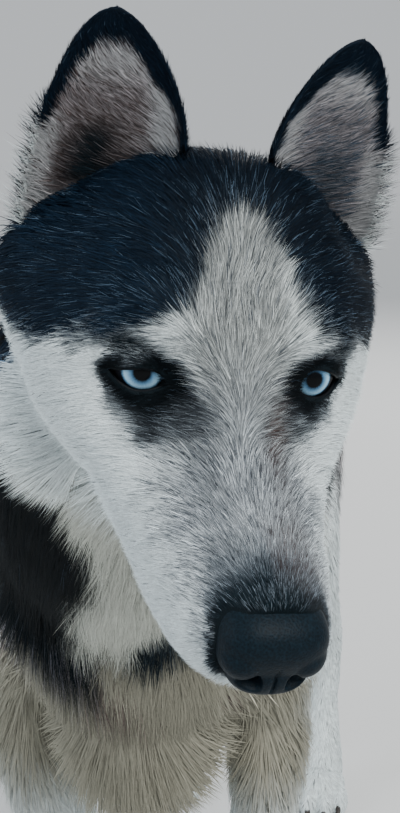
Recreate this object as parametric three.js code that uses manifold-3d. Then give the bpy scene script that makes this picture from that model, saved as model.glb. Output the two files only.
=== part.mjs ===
// A Siberian husky, life size, standing square with its head lowered and turned to its left.
// Millimetres, +Z up. The dog faces -Y and its left side is +X; it stands on the plane Z = 0.
import * as THREE from 'three';
import { mergeVertices } from 'three/addons/utils/BufferGeometryUtils.js';
import Module from 'manifold-3d';

const wasm = await Module();
wasm.setup();

// Driving sizes of the dog
const WITHERS_HEIGHT = 582;
const CHEST_FLOOR = 300;
const CHEST_HALF_WIDTH = 104;
const FORE_LEG_X = 62;
const FORE_LEG_Y = -188;
const HOCK_X = 76;
const HOCK_Y = 284;
const EYE_MIDDLE = new THREE.Vector3(83, -460, 612.5);
const HEAD_YAW = 23;
const HEAD_PITCH = 22.5;
const HEAD_ROLL = 6.5;
const EYE_SPACING = 57;
const EYEBALL_RADIUS = 11;
const HEAD_BACK = 72;
const HEAD_DROP = 84;
const NOSE_WIDTH = 35;
const EAR_HALF_WIDTH = 30;

// How deep the long coat stands over the core that its locks grow from
const RUFF_DEPTH = 20;
const TAIL_DEPTH = 19;
const BREECHES_DEPTH = 13;
const CHEST_DEPTH = 12;

// The gap that touching pieces keep, and what one grows by where another is trimmed to it
const GAP = 0.35;
const CLEAR = 0.45;

const COLOURS = {
  black: { color: 0x15171b, roughness: 0.72 },
  white: { color: 0xd8d9d6, roughness: 0.8 },
  grey: { color: 0x8e9194, roughness: 0.78 },
  nose: { color: 0x0b0c0e, roughness: 0.38 },
  eye: { color: 0x9fc4df, roughness: 0.08 },
};

const up = new THREE.Vector3(0, 0, 1);
const ahead = new THREE.Vector3(0, -1, 0);
const at = (x, y, z) => new THREE.Vector3(x, y, z);
const lerp = THREE.MathUtils.lerp;
const clamp = THREE.MathUtils.clamp;
const radians = THREE.MathUtils.degToRad;
const bothLegs = [['left', 1], ['right', -1]];

// A repeatable random number from -1 to 1
let seed = 7;
function vary() {
  seed = (seed * 16807) % 2147483647;
  return (2 * seed) / 2147483647 - 1;
}

// Solids

function solid(geometry) {
  const bare = geometry.clone();
  bare.deleteAttribute('normal');
  bare.deleteAttribute('uv');
  const merged = mergeVertices(bare, 1e-3);
  const make = (triVerts) => new wasm.Manifold(new wasm.Mesh({
    numProp: 3,
    vertProperties: new Float32Array(merged.attributes.position.array),
    triVerts,
  }));
  const faces = new Uint32Array(merged.index.array);
  const made = make(faces);
  if (made.volume() > 0) return made;
  for (let i = 0; i < faces.length; i += 3) [faces[i + 1], faces[i + 2]] = [faces[i + 2], faces[i + 1]];
  return make(faces);
}

function geometryOf(made) {
  const mesh = made.getMesh();
  const geometry = new THREE.BufferGeometry();
  geometry.setAttribute('position', new THREE.BufferAttribute(new Float32Array(mesh.vertProperties), 3));
  geometry.setIndex(new THREE.BufferAttribute(new Uint32Array(mesh.triVerts), 1));
  geometry.computeVertexNormals();
  return geometry;
}

const fuse = (...pieces) => wasm.Manifold.union(pieces.flat());

// The largest closed surface of a cut or joined solid
function largest(made) {
  return made.decompose().reduce((best, body) => (body.volume() > best.volume() ? body : best));
}

function mirrored(made) {
  const geometry = geometryOf(made);
  geometry.scale(-1, 1, 1);
  return solid(geometry);
}

const bothSides = (made) => [made, mirrored(made)];

// A smooth value through evenly spaced stations
function through(stations, key, share) {
  const last = stations.length - 1;
  const place = clamp(share, 0, 1) * last;
  const i = Math.min(Math.floor(place), last - 1);
  const f = place - i;
  const [a, b, c, d] = [i - 1, i, i + 1, i + 2].map((n) => stations[clamp(n, 0, last)][key]);
  return b + 0.5 * f * (c - a + f * (2 * a - 5 * b + 4 * c - d + f * (3 * (b - c) + d - a)));
}

const centreAt = (stations, share) => at(...['x', 'y', 'z'].map((key) => through(stations, key, share)));

// A tube runs through rings. Each has a centre, a half width, its reach up and down from the centre,
// a squareness (2 is an ellipse, more is boxier) and a lean that narrows its top and widens its bottom.
// A grow above 0 makes the whole tube thicker by that much.
function rings(list) {
  return list.map((s) => ({ x: 0, square: 2, lean: 0, down: s.up, ...s }));
}

function tubePoint(stations, upward, share, around, reach = 1, grow = 0) {
  const step = 0.01;
  const centre = centreAt(stations, share);
  const along = centreAt(stations, share + step).sub(centreAt(stations, share - step)).normalize();
  const rise = upward.clone().addScaledVector(along, -upward.dot(along)).normalize();
  const side = along.clone().cross(rise);
  const square = through(stations, 'square', share);
  const bend = (value) => Math.sign(value) * Math.abs(value) ** (2 / square);
  const lift = grow + through(stations, Math.cos(around) > 0 ? 'up' : 'down', share);
  const lean = 1 - through(stations, 'lean', share) * Math.cos(around);
  const wide = grow + through(stations, 'wide', share) * lean;
  return centre
    .addScaledVector(side, reach * wide * bend(Math.sin(around)))
    .addScaledVector(rise, reach * lift * bend(Math.cos(around)));
}

function tube(stations, upward, sides, steps, grow = 0, shape = (point) => point) {
  const geometry = new THREE.CylinderGeometry(1, 1, 1, sides, steps);
  const place = geometry.attributes.position;
  for (let i = 0; i < place.count; i += 1) {
    const around = Math.atan2(place.getX(i), place.getZ(i));
    const reach = Math.hypot(place.getX(i), place.getZ(i));
    const point = shape(tubePoint(stations, upward, place.getY(i) + 0.5, around, reach, grow));
    place.setXYZ(i, point.x, point.y, point.z);
  }
  return solid(geometry);
}

// A spot on a tube's surface, with the way out of it and the way along it
function spotOn(stations, upward, share, around, grow = 0) {
  const spot = (s, a) => tubePoint(stations, upward, s, a, 1, grow);
  const point = spot(share, around);
  const along = spot(share + 0.02, around).sub(spot(share - 0.02, around)).normalize();
  const round = spot(share, around + 0.05).sub(spot(share, around - 0.05)).normalize();
  const out = along.clone().cross(round).normalize();
  if (out.dot(point.clone().sub(centreAt(stations, share))) < 0) out.negate();
  return { point, out, along };
}

// An egg-shaped solid with its own half sizes, turned by angles in degrees about X, Y and Z
function egg(centre, half, turn = [0, 0, 0], sides = 10, steps = 7) {
  const geometry = new THREE.SphereGeometry(1, sides, steps);
  geometry.scale(half[0], half[1], half[2]);
  geometry.rotateX(radians(turn[0]));
  geometry.rotateY(radians(turn[1]));
  geometry.rotateZ(radians(turn[2]));
  geometry.translate(centre.x, centre.y, centre.z);
  return solid(geometry);
}

// A block between two corners, turned about its middle and grown on every side
function block(low, high, grow = 0, turn = [0, 0, 0]) {
  const size = high.clone().sub(low);
  const middle = high.clone().add(low).multiplyScalar(0.5);
  const geometry = new THREE.BoxGeometry(size.x + 2 * grow, size.y + 2 * grow, size.z + 2 * grow);
  geometry.rotateX(radians(turn[0]));
  geometry.rotateY(radians(turn[1]));
  geometry.rotateZ(radians(turn[2]));
  geometry.translate(middle.x, middle.y, middle.z);
  return solid(geometry);
}

// A lock of long coat: flat and tapered, rooted under the surface and bending over it along the lie.
// It rises towards its tip, sags under its weight and curls to one side.
const LOCK_SINK = 9;
const BREECHES_START = 2.2;
const BREECHES_END = 4.3;
function lock(spot, lie, size, grow = 0) {
  const side = lie.clone().cross(spot.out).normalize();
  const over = side.clone().cross(lie).normalize();
  if (over.dot(spot.out) < 0) over.negate();
  const geometry = new THREE.CylinderGeometry(1, 1, 1, 4, 3);
  const place = geometry.attributes.position;
  for (let i = 0; i < place.count; i += 1) {
    const share = place.getY(i) + 0.5;
    const taper = Math.sin(Math.PI * (0.2 + 0.775 * share));
    const rise = -LOCK_SINK + (LOCK_SINK + size.rise) * Math.sin((Math.PI / 2) * share ** 0.8);
    const point = spot.point.clone()
      .addScaledVector(lie, (size.length + 2 * grow) * (share - 0.15) - grow)
      .addScaledVector(over, rise + (0.5 * size.thick * taper + grow) * place.getZ(i))
      .addScaledVector(up, -size.sag * share ** 2)
      .addScaledVector(side, size.curl * share ** 2 + (0.5 * size.width * taper + grow) * place.getX(i));
    place.setXYZ(i, point.x, point.y, point.z);
  }
  return solid(geometry);
}

// Head. In its own frame the middle between the eyes is the origin and +Z is square to the bridge.

const headMatrix = new THREE.Matrix4()
  .makeRotationZ(radians(HEAD_YAW))
  .multiply(new THREE.Matrix4().makeRotationX(radians(HEAD_PITCH)))
  .multiply(new THREE.Matrix4().makeRotationY(radians(HEAD_ROLL)))
  .setPosition(EYE_MIDDLE);

function inHeadPlace(made) {
  const geometry = geometryOf(made);
  geometry.applyMatrix4(headMatrix);
  return solid(geometry);
}

// From the nape to the end of the upper lip
const SKULL = rings([
  { y: 98, z: -6, wide: 48, up: 32, down: 44 },
  { y: 78, z: -8, wide: 74, up: 61, down: 62, square: 2.1 },
  { y: 55, z: -12, wide: 78, up: 74, down: 64, square: 2.2 },
  { y: 30, z: -15, wide: 69, up: 68, down: 60, square: 2.2 },
  { y: 8, z: -18, wide: 57, up: 50, down: 54, square: 2.2 },
  { y: -10, z: -23, wide: 48, up: 35, down: 44, square: 2.3, lean: 0.05 },
  { y: -26, z: -31, wide: 40, up: 26, down: 34, square: 2.4, lean: 0.13 },
  { y: -46, z: -37, wide: 33.5, up: 25, down: 27, square: 2.5, lean: 0.2 },
  { y: -66, z: -39, wide: 29.5, up: 24, down: 23, square: 2.5, lean: 0.25 },
  { y: -84, z: -40, wide: 25, up: 22, down: 18, square: 2.4, lean: 0.25 },
  { y: -96, z: -40, wide: 17, up: 16, down: 12, square: 2.2, lean: 0.2 },
]);
const JAW = rings([
  { y: 40, z: -56, wide: 42, up: 20, down: 24 },
  { y: 5, z: -60, wide: 35, up: 16, down: 20 },
  { y: -30, z: -60, wide: 27, up: 12, down: 16 },
  { y: -60, z: -58, wide: 21, up: 10, down: 13 },
  { y: -80, z: -56, wide: 15, up: 8, down: 11 },
  { y: -88, z: -55, wide: 9, up: 5, down: 7 },
]);

// Soft pushes on the skull's surface: where, how far each spreads, which way and how far it moves
const EYE_CENTRE = at(EYE_SPACING / 2, -0.5, 0);
const FACE_PUSHES = [
  { spot: at(32, -14, -2), spread: 12, move: at(-2, 9, -2) },
  { spot: at(18, -26, -12), spread: 12, move: at(-3, 3, -2) },
  { spot: at(30, -4, 17), spread: 12, move: at(2, -5, 3) },
  { spot: at(50, 6, -26), spread: 18, move: at(2, -2, 0) },
  { spot: at(0, 0, 24), spread: 9, move: at(0, 2, -2.5) },
];

function facePushed(point) {
  const side = Math.sign(point.x);
  const half = at(Math.abs(point.x), point.y, point.z);
  const moved = half.clone();
  for (const push of FACE_PUSHES) {
    const nearness = Math.exp(-half.distanceToSquared(push.spot) / (2 * push.spread ** 2));
    moved.addScaledVector(push.move, nearness);
  }
  return at(Math.abs(point.x) < 1e-3 ? 0 : side * moved.x, moved.y, moved.z);
}

// The lids are a thin ball round the eye with an almond cut through it along the gaze
const GAZE_OUT = 14;
const GAZE_UP = 18;
const LID = 2.2;
const OPENING_HALF_LENGTH = 11.5;
const OPENING_HALF_HEIGHT = 6.2;

function almondPrism() {
  const outline = new THREE.Shape();
  outline.moveTo(-OPENING_HALF_LENGTH, -3);
  outline.quadraticCurveTo(-1, OPENING_HALF_HEIGHT * 1.6, OPENING_HALF_LENGTH, 2);
  outline.quadraticCurveTo(2, -OPENING_HALF_HEIGHT * 2.1, -OPENING_HALF_LENGTH, -3);
  const geometry = new THREE.ExtrudeGeometry(outline, { depth: 40, bevelEnabled: false, curveSegments: 5 });
  geometry.rotateX(radians(90 - GAZE_UP));
  geometry.rotateZ(radians(GAZE_OUT));
  geometry.translate(EYE_CENTRE.x, EYE_CENTRE.y, EYE_CENTRE.z);
  return solid(geometry);
}

function eyeball(grow = 0) {
  const r = EYEBALL_RADIUS + grow;
  return egg(EYE_CENTRE, [r, r, r], [90 - GAZE_UP, 0, GAZE_OUT], 14, 9);
}

function headSolid(grow) {
  const skull = tube(SKULL, up, 24, 22, grow, facePushed);
  const jaw = tube(JAW, up, 12, 7, grow);
  const lids = egg(EYE_CENTRE, Array(3).fill(EYEBALL_RADIUS + LID + grow), [0, 0, 0], 14, 10);
  const holes = bothSides(fuse(eyeball(GAP - grow), almondPrism()));
  return fuse(skull, jaw, bothSides(lids)).subtract(fuse(holes));
}

// The nose: a rounded pad with a comma-shaped nostril on each side and a groove down the middle
function noseSolid() {
  const pad = egg(at(0, -92, -31), [NOSE_WIDTH / 2, 13.5, 13.5], [12, 0, 0], 13, 9);
  const wings = bothSides(egg(at(9, -96, -34.5), [8.8, 9.5, 8.5], [0, 0, 10], 8, 6));
  const foot = egg(at(0, -94, -41), [9, 10, 8], [0, 0, 0], 8, 6);
  const holes = bothSides(egg(at(7.6, -107, -35.5), [4.2, 6, 3.2], [0, -14, 0], 8, 5));
  const slits = bothSides(egg(at(13.6, -102, -38.5), [5, 7, 1.2], [0, 22, 0], 6, 5));
  const groove = egg(at(0, -107, -41), [0.9, 6, 12], [0, 0, 0], 5, 5);
  return fuse(pad, wings, foot).subtract(fuse(holes, slits, groove));
}

// Ears: a cupped leaf, thick at the root and rounded at the tip, its hollow facing forward and a little out
const EAR_INNER_ROOT = at(15, 45, 46);
const EAR_OUTER_ROOT = at(67, 62, 6);
const EAR_TIP = at(43, 61, 97);
const EAR_CUP_DEPTH = 24;
const EAR_THICK = 6.5;
const EAR_SWEEP = 1.35;

function earPoint(across, rise, front) {
  const rootMiddle = EAR_INNER_ROOT.clone().lerp(EAR_OUTER_ROOT, 0.5);
  const chord = EAR_OUTER_ROOT.clone().sub(EAR_INNER_ROOT).normalize();
  const level = chord.lerp(at(1, 0.22, 0), rise ** 0.6).normalize();
  const middle = rootMiddle.lerp(EAR_TIP, rise).addScaledVector(level, -2 * Math.sin(Math.PI * rise));
  const narrowing = (1 - 0.992 * rise ** 1.75) ** 0.64;
  const depth = lerp(EAR_CUP_DEPTH, 5, rise ** 0.7) * narrowing ** 0.5;
  const swing = across * EAR_SWEEP;
  const thick = front ? EAR_THICK * lerp(1, 0.55, rise) * (0.45 + 0.55 * Math.cos(swing * 1.07)) : 0;
  return middle
    .addScaledVector(level, (EAR_HALF_WIDTH * narrowing * Math.sin(swing)) / Math.sin(EAR_SWEEP))
    .add(at(-0.2, 1, 0).multiplyScalar(depth * (Math.cos(swing) - 0.35) - thick));
}

function earSolid() {
  const geometry = new THREE.BoxGeometry(2, 1, 1, 8, 7, 1);
  const place = geometry.attributes.position;
  for (let i = 0; i < place.count; i += 1) {
    const point = earPoint(place.getX(i), place.getY(i) + 0.5, place.getZ(i) > 0);
    place.setXYZ(i, point.x, point.y, point.z);
  }
  return solid(geometry);
}

// Trunk, from the rump to the breast
const CHEST_MIDDLE = 448;
const TRUNK = rings([
  { y: 306, z: 492, wide: 32, up: 28, down: 38 },
  { y: 290, z: 486, wide: 62, up: 56, down: 60 },
  { y: 254, z: 482, wide: 76, up: 74, down: 74 },
  { y: 190, z: 476, wide: 82, up: 88, down: 98 },
  { y: 110, z: 466, wide: 90, up: 98, down: 118, square: 2.1 },
  { y: 20, z: 456, wide: 98, up: 110, down: 142, square: 2.15 },
  { y: -70, z: 450, wide: CHEST_HALF_WIDTH + 2, up: 124, down: 152, square: 2.2 },
  {
    y: -150,
    z: CHEST_MIDDLE,
    wide: CHEST_HALF_WIDTH,
    up: WITHERS_HEIGHT - CHEST_MIDDLE,
    down: CHEST_MIDDLE - CHEST_FLOOR,
    square: 2.2,
  },
  { y: -218, z: 446, wide: 95, up: 126, down: 128, square: 2.1 },
  { y: -268, z: 444, wide: 78, up: 88, down: 94 },
  { y: -294, z: 442, wide: 52, up: 52, down: 58 },
  { y: -304, z: 440, wide: 24, up: 24, down: 30 },
]);

// Neck to the tips of its ruff, from inside the head to inside the chest
const NECK = rings([
  { x: 62, y: -424, z: 622, wide: 56, up: 50, down: 58 },
  { x: 50, y: -390, z: 610, wide: 78, up: 68, down: 84 },
  { x: 35, y: -350, z: 586, wide: 87, up: 78, down: 98 },
  { x: 18, y: -304, z: 550, wide: 92, up: 90, down: 110 },
  { x: 6, y: -256, z: 512, wide: 95, up: 98, down: 110 },
  { x: 0, y: -208, z: 482, wide: 95, up: 98, down: 100 },
  { x: 0, y: -170, z: 462, wide: 84, up: 78, down: 80 },
]);

// Legs, from the top down
const FORE_LEG = rings([
  { x: 58, y: -176, z: 470, wide: 34, up: 60, down: 60 },
  { x: 66, y: -180, z: 400, wide: 40, up: 66, down: 62 },
  { x: FORE_LEG_X + 4, y: -176, z: 330, wide: 34, up: 48, down: 48 },
  { x: FORE_LEG_X + 1, y: -178, z: 270, wide: 25, up: 32, down: 36 },
  { x: FORE_LEG_X, y: -183, z: 215, wide: 22, up: 25, down: 27 },
  { x: FORE_LEG_X, y: FORE_LEG_Y, z: 160, wide: 20, up: 22, down: 22 },
  { x: FORE_LEG_X, y: FORE_LEG_Y - 2, z: 118, wide: 22, up: 24, down: 23 },
  { x: FORE_LEG_X, y: FORE_LEG_Y - 5, z: 82, wide: 21, up: 20, down: 20 },
  { x: FORE_LEG_X, y: FORE_LEG_Y - 14, z: 48, wide: 25, up: 26, down: 24 },
  { x: FORE_LEG_X, y: FORE_LEG_Y - 24, z: 14, wide: 27, up: 30, down: 30 },
]);
const HIND_LEG = rings([
  { x: 30, y: 206, z: 528, wide: 28, up: 50, down: 44 },
  { x: 42, y: 204, z: 470, wide: 44, up: 82, down: 76 },
  { x: 50, y: 200, z: 414, wide: 45, up: 90, down: 86 },
  { x: 55, y: 192, z: 358, wide: 42, up: 80, down: 74 },
  { x: 62, y: 196, z: 304, wide: 35, up: 60, down: 52 },
  { x: 68, y: 220, z: 254, wide: 27, up: 40, down: 38 },
  { x: 73, y: 250, z: 208, wide: 22, up: 29, down: 29 },
  { x: HOCK_X, y: 276, z: 172, wide: 20, up: 24, down: 27 },
  { x: HOCK_X, y: HOCK_Y, z: 136, wide: 18, up: 21, down: 21 },
  { x: HOCK_X - 1, y: HOCK_Y - 3, z: 92, wide: 18, up: 19, down: 19 },
  { x: HOCK_X - 1, y: HOCK_Y - 12, z: 52, wide: 23, up: 25, down: 22 },
  { x: HOCK_X - 1, y: HOCK_Y - 22, z: 14, wide: 26, up: 29, down: 28 },
]);

// A paw: two middle toes ahead of two outer ones, a heel pad and a claw on each toe
function pawSolid(x, y, scale, grow) {
  const pieces = [];
  for (const [across, reach] of [[-22, 40], [-8, 52], [8, 52], [22, 40]]) {
    const toe = at(x + across * scale, y - reach * scale, 15 * scale);
    const half = [10.5, 19, 16].map((size) => size * scale + grow);
    pieces.push(egg(toe, half, [0, 0, across * 0.5], 6, 5));
    const claw = new THREE.ConeGeometry(3 + grow, 17 + grow, 4, 1);
    claw.rotateX(radians(118));
    claw.translate(toe.x + across * 0.05, toe.y - 21 * scale, 9 * scale);
    pieces.push(solid(claw));
  }
  const heel = [28, 36, 23].map((size) => size * scale + grow);
  pieces.push(egg(at(x, y - 20 * scale, 20 * scale), heel, [-8, 0, 0], 8, 5));
  return fuse(pieces);
}

// Tail to the tips of its brush, hanging at rest in a shallow curve
const TAIL = rings([
  { y: 276, z: 520, wide: 24, up: 22, down: 22 },
  { y: 316, z: 516, wide: 34, up: 32, down: 32 },
  { y: 350, z: 486, wide: 41, up: 39, down: 39 },
  { y: 370, z: 440, wide: 46, up: 44, down: 44 },
  { y: 379, z: 388, wide: 49, up: 47, down: 47 },
  { y: 384, z: 336, wide: 49, up: 48, down: 47 },
  { y: 389, z: 284, wide: 46, up: 45, down: 44 },
  { y: 397, z: 236, wide: 40, up: 39, down: 38 },
  { y: 407, z: 196, wide: 32, up: 31, down: 31 },
  { y: 416, z: 168, wide: 24, up: 24, down: 24 },
]);

// The whole body without its long coat; a grow above 0 gives the space that neighbours keep clear of
function bareBody(grow) {
  const legs = fuse(
    tube(FORE_LEG, ahead, 10, 14, grow),
    pawSolid(FORE_LEG_X, FORE_LEG_Y, 1, grow),
    tube(HIND_LEG, ahead, 12, 16, grow),
    pawSolid(HOCK_X - 1, HOCK_Y - 12, 0.96, grow),
  );
  const floor = block(at(-900, -1200, -200), at(900, 1200, -grow));
  return fuse(
    inHeadPlace(headSolid(grow)),
    tube(TRUNK, up, 20, 18, grow),
    tube(NECK, up, 18, 10, grow - RUFF_DEPTH),
    tube(TAIL, up, 8, 12, grow - TAIL_DEPTH),
    bothSides(legs),
  ).subtract(floor);
}

const nodes = {};
const spaces = {};
let rest = bareBody(0);
let restSpace = bareBody(CLEAR);

// Takes what lies inside a block out of the rest, as a node of its own
function carve(name, makeBlock) {
  nodes[name] = largest(rest.intersect(makeBlock(0)));
  spaces[name] = restSpace.intersect(makeBlock(GAP));
  rest = rest.subtract(makeBlock(GAP));
  restSpace = restSpace.subtract(makeBlock(0));
}

const headBlock = (grow) => inHeadPlace(block(at(-170, -200, -HEAD_DROP), at(170, HEAD_BACK, 150), grow));

function legBlock(side, low, high) {
  return (grow) => {
    const made = block(low, high, grow);
    return side > 0 ? made : mirrored(made);
  };
}

function carveBody() {
  carve('head', headBlock);
  carve('neck', (grow) => block(at(-240, -560, 360), at(260, -262, 860), grow, [-36, 0, 0]));
  carve('tail_upper', (grow) => block(at(-80, 309, 350), at(80, 520, 640), grow));
  carve('tail_lower', (grow) => block(at(-80, 318, 60), at(80, 520, 350), grow));
  for (const [name, side] of bothLegs) {
    carve(`fore_paw_${name}`, legBlock(side, at(10, -340, -10), at(150, -120, 74)));
    carve(`foreleg_${name}`, legBlock(side, at(22, -290, 74), at(190, -60, CHEST_FLOOR - 2)));
    carve(`hind_paw_${name}`, legBlock(side, at(20, 130, -10), at(160, 330, 70)));
    carve(`metatarsus_${name}`, legBlock(side, at(20, 180, 70), at(160, 350, 172)));
    carve(`shank_${name}`, legBlock(side, at(20, 80, 172), at(190, 350, 318)));
    carve(`thigh_${name}`, legBlock(side, at(18, 104, 318), at(190, 318, 436)));
  }
  nodes.torso = largest(rest);
  spaces.torso = restSpace;
}

// Joins locks to a node, clear of every other node
function dress(name, locks) {
  const others = Object.keys(spaces).filter((other) => other !== name).map((other) => spaces[other]);
  nodes[name] = largest(fuse(nodes[name], fuse(locks.map((make) => make(0))).subtract(fuse(others))));
  spaces[name] = fuse(spaces[name], locks.map((make) => make(CLEAR)));
}

// Rows of locks round part of a tube, each row set half a lock on from the one before
function rowsOn(stations, upward, depth, plan) {
  const locks = [];
  for (let row = 0; row < plan.rows; row += 1) {
    const share = plan.rows === 1 ? plan.from : lerp(plan.from, plan.to, row / (plan.rows - 1));
    for (let n = 0; n < plan.count; n += 1) {
      const turn = (n + 0.5 * (row % 2) + 0.25 + 0.12 * vary()) / plan.count;
      const around = lerp(plan.start ?? -Math.PI, plan.end ?? Math.PI, turn);
      const spot = spotOn(stations, upward, clamp(share + 0.012 * vary(), 0, 1), around, -depth);
      const lie = spot.along.clone().add(plan.fall ?? at(0, 0, 0));
      lie.addScaledVector(spot.out, -0.9 * lie.dot(spot.out)).normalize();
      const size = {
        length: plan.length * (1 + 0.14 * vary()),
        width: plan.width * (1 + 0.12 * vary()),
        thick: plan.thick,
        rise: (plan.rise ?? depth) * (1 + 0.15 * vary()),
        curl: 7 * vary(),
        sag: plan.sag * (1 + 0.4 * vary()),
      };
      locks.push((grow) => lock(spot, lie, size, grow));
    }
  }
  return locks;
}

// Spots down the back of a thigh, where the breeches hang
function breeches(side) {
  const size = { length: 92, width: 46, thick: 12, sag: 8, rise: BREECHES_DEPTH };
  const sweep = { start: BREECHES_START, end: BREECHES_END, fall: at(0, 0.25, -0.2) };
  const plan = { rows: 3, from: 0.15, to: 0.34, count: 2 };
  const locks = rowsOn(HIND_LEG, ahead, 1, { ...size, ...sweep, ...plan });
  return side > 0 ? locks : locks.map((make) => (grow) => mirrored(make(grow)));
}

function dressLongCoat() {
  const ruff = { length: 86, width: 66, thick: 12, sag: 17, fall: at(0, 0.1, -0.35) };
  dress('neck', rowsOn(NECK, up, RUFF_DEPTH, { ...ruff, rows: 5, from: 0.13, to: 0.58, count: 7 }));
  const breast = { length: 78, width: 38, thick: 11, sag: 4, rise: CHEST_DEPTH };
  const chest = { ...breast, rows: 1, fall: at(0, -0.3, -1.6) };
  dress('torso', [
    ...rowsOn(TRUNK, up, 1, { ...chest, from: 0.94, count: 3, start: 1.6, end: 4.7 }),
    ...rowsOn(TRUNK, up, 1, { ...chest, from: 0.86, count: 5, start: 1.7, end: 4.6 }),
  ]);
  for (const [name, side] of bothLegs) dress(`thigh_${name}`, breeches(side));
  const brush = { count: 5, length: 96, width: 42, thick: 13, sag: 6 };
  dress('tail_upper', rowsOn(TAIL, up, TAIL_DEPTH, { ...brush, rows: 3, from: 0.17, to: 0.4 }));
  dress('tail_lower', rowsOn(TAIL, up, TAIL_DEPTH, { ...brush, rows: 4, from: 0.5, to: 0.9 }));
}

function buildHeadPieces() {
  const nose = inHeadPlace(noseSolid());
  nodes.nose = largest(nose.subtract(spaces.head));
  const ear = earSolid();
  const eye = eyeball();
  for (const [name, side] of bothLegs) {
    const placed = (made) => inHeadPlace(side > 0 ? made : mirrored(made));
    nodes[`ear_${name}`] = largest(placed(ear).intersect(headBlock(0)).subtract(spaces.head));
    nodes[`eye_${name}`] = placed(eye);
  }
}

carveBody();
dressLongCoat();
buildHeadPieces();

const FINISH = {
  head: 'grey',
  nose: 'nose',
  eye_left: 'eye',
  eye_right: 'eye',
  neck: 'black',
  torso: 'black',
  tail_upper: 'black',
  tail_lower: 'black',
  ear_left: 'black',
  ear_right: 'black',
};

const husky = new THREE.Group();
const box = new THREE.Box3();
for (const [name, made] of Object.entries(nodes)) {
  const material = new THREE.MeshStandardMaterial(COLOURS[FINISH[name] ?? 'white']);
  const mesh = new THREE.Mesh(geometryOf(made), material);
  mesh.name = name;
  box.expandByObject(mesh);
  husky.add(mesh);
}

// The origin is the middle of the dog's length and width, on the floor
husky.position.set(-(box.min.x + box.max.x) / 2, -(box.min.y + box.max.y) / 2, 0);

export default husky;
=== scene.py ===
# %% [markdown]
# # A Siberian husky at life size
# The dog stands square with its head lowered and turned to its left. The solids give its outline.
# This script dresses them: one skin without seams, the coat as solid tufts that follow the lie of the
# hair, wet black lids round pale blue eyes, a pebbled nose, claws and whiskers.
# Everything is made in millimetres in the dog's own frame, and carried to the frame at the end.

# %% The frame
import math
import bmesh
import bpy
import numpy as np
from mathutils import Matrix, Vector
from mathutils.bvhtree import BVHTree
from mathutils.kdtree import KDTree


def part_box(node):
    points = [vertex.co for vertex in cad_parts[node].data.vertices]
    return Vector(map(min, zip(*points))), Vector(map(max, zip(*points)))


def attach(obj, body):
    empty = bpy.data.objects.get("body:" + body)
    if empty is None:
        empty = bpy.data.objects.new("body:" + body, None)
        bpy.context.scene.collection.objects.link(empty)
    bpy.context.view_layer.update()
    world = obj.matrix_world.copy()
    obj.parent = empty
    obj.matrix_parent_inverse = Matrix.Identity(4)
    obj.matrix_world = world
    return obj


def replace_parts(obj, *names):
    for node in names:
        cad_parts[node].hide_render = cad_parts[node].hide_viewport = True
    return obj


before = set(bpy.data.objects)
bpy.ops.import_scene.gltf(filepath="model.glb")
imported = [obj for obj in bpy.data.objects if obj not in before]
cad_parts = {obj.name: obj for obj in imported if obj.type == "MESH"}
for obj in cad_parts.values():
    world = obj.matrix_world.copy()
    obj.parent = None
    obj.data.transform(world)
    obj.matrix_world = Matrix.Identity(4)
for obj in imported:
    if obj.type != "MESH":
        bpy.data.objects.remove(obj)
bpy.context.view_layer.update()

# %% [markdown]
# ## Where things are
# The head has its own frame: its origin is the middle between the eyes, +X is the dog's left, +Y runs
# back over the skull and +Z is square to the bridge of the nose. The left eye is a ball in the frame,
# so its centre tells how far the dog's own origin was moved.

# %% Frames and driving sizes
MM = 0.001
EYE_MIDDLE = np.array([83.0, -460.0, 612.5])
HEAD_YAW, HEAD_PITCH, HEAD_ROLL = 23, 22.5, 6.5
EYE_SPACING = 57
EYEBALL_RADIUS = 11
EYE_CENTRE = np.array([EYE_SPACING / 2, -0.5, 0])
NOSE_WIDTH = 35
CHEST_HALF_WIDTH = 104
CHEST_MIDDLE, CHEST_FLOOR, WITHERS_HEIGHT = 448, 300, 582
FORE_LEG_X, FORE_LEG_Y = 62, -188
HOCK_X, HOCK_Y = 76, 284


def turn_matrix(yaw, pitch, roll):
    yaw, pitch, roll = (Matrix.Rotation(math.radians(angle), 3, axis)
                        for angle, axis in ((yaw, "Z"), (pitch, "X"), (roll, "Y")))
    return np.array(yaw @ pitch @ roll)


HEAD_TURN = turn_matrix(HEAD_YAW, HEAD_PITCH, HEAD_ROLL)


def head_to_dog(points):
    return points @ HEAD_TURN.T + EYE_MIDDLE


def dog_to_head(points):
    return (points - EYE_MIDDLE) @ HEAD_TURN


eye_low, eye_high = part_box("eye_left")
SHIFT = np.array((eye_low + eye_high) / 2) / MM - head_to_dog(EYE_CENTRE)
SHIFT[2] = 0
print("the dog's origin was moved by", SHIFT.round(3), "mm")


def dog_to_frame(points):
    return (points + SHIFT) * MM


def head_to_frame(points):
    return dog_to_frame(head_to_dog(points))


def half_of(points):
    """The points with those of the right side mirrored to the left, as most forms are even."""
    return np.abs(points) * [1, 0, 0] + points * [0, 1, 1]


def unit(vectors):
    return vectors / np.maximum(np.linalg.norm(vectors, axis=-1, keepdims=True), 1e-9)


def smooth_step(low, high, value):
    share = np.clip((value - low) / (high - low), 0, 1)
    return share * share * (3 - 2 * share)


# %% [markdown]
# ## Camera, light and floor
# The photo was taken from a little above the dog's eyes, about 0.4 m away, looking down. So near, the
# muzzle looks large, and only a camera at the same distance gives that; a longer lens wouldn't.
# A soft key light and a pale surrounding stand for the overcast sky that it was taken under.

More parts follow.
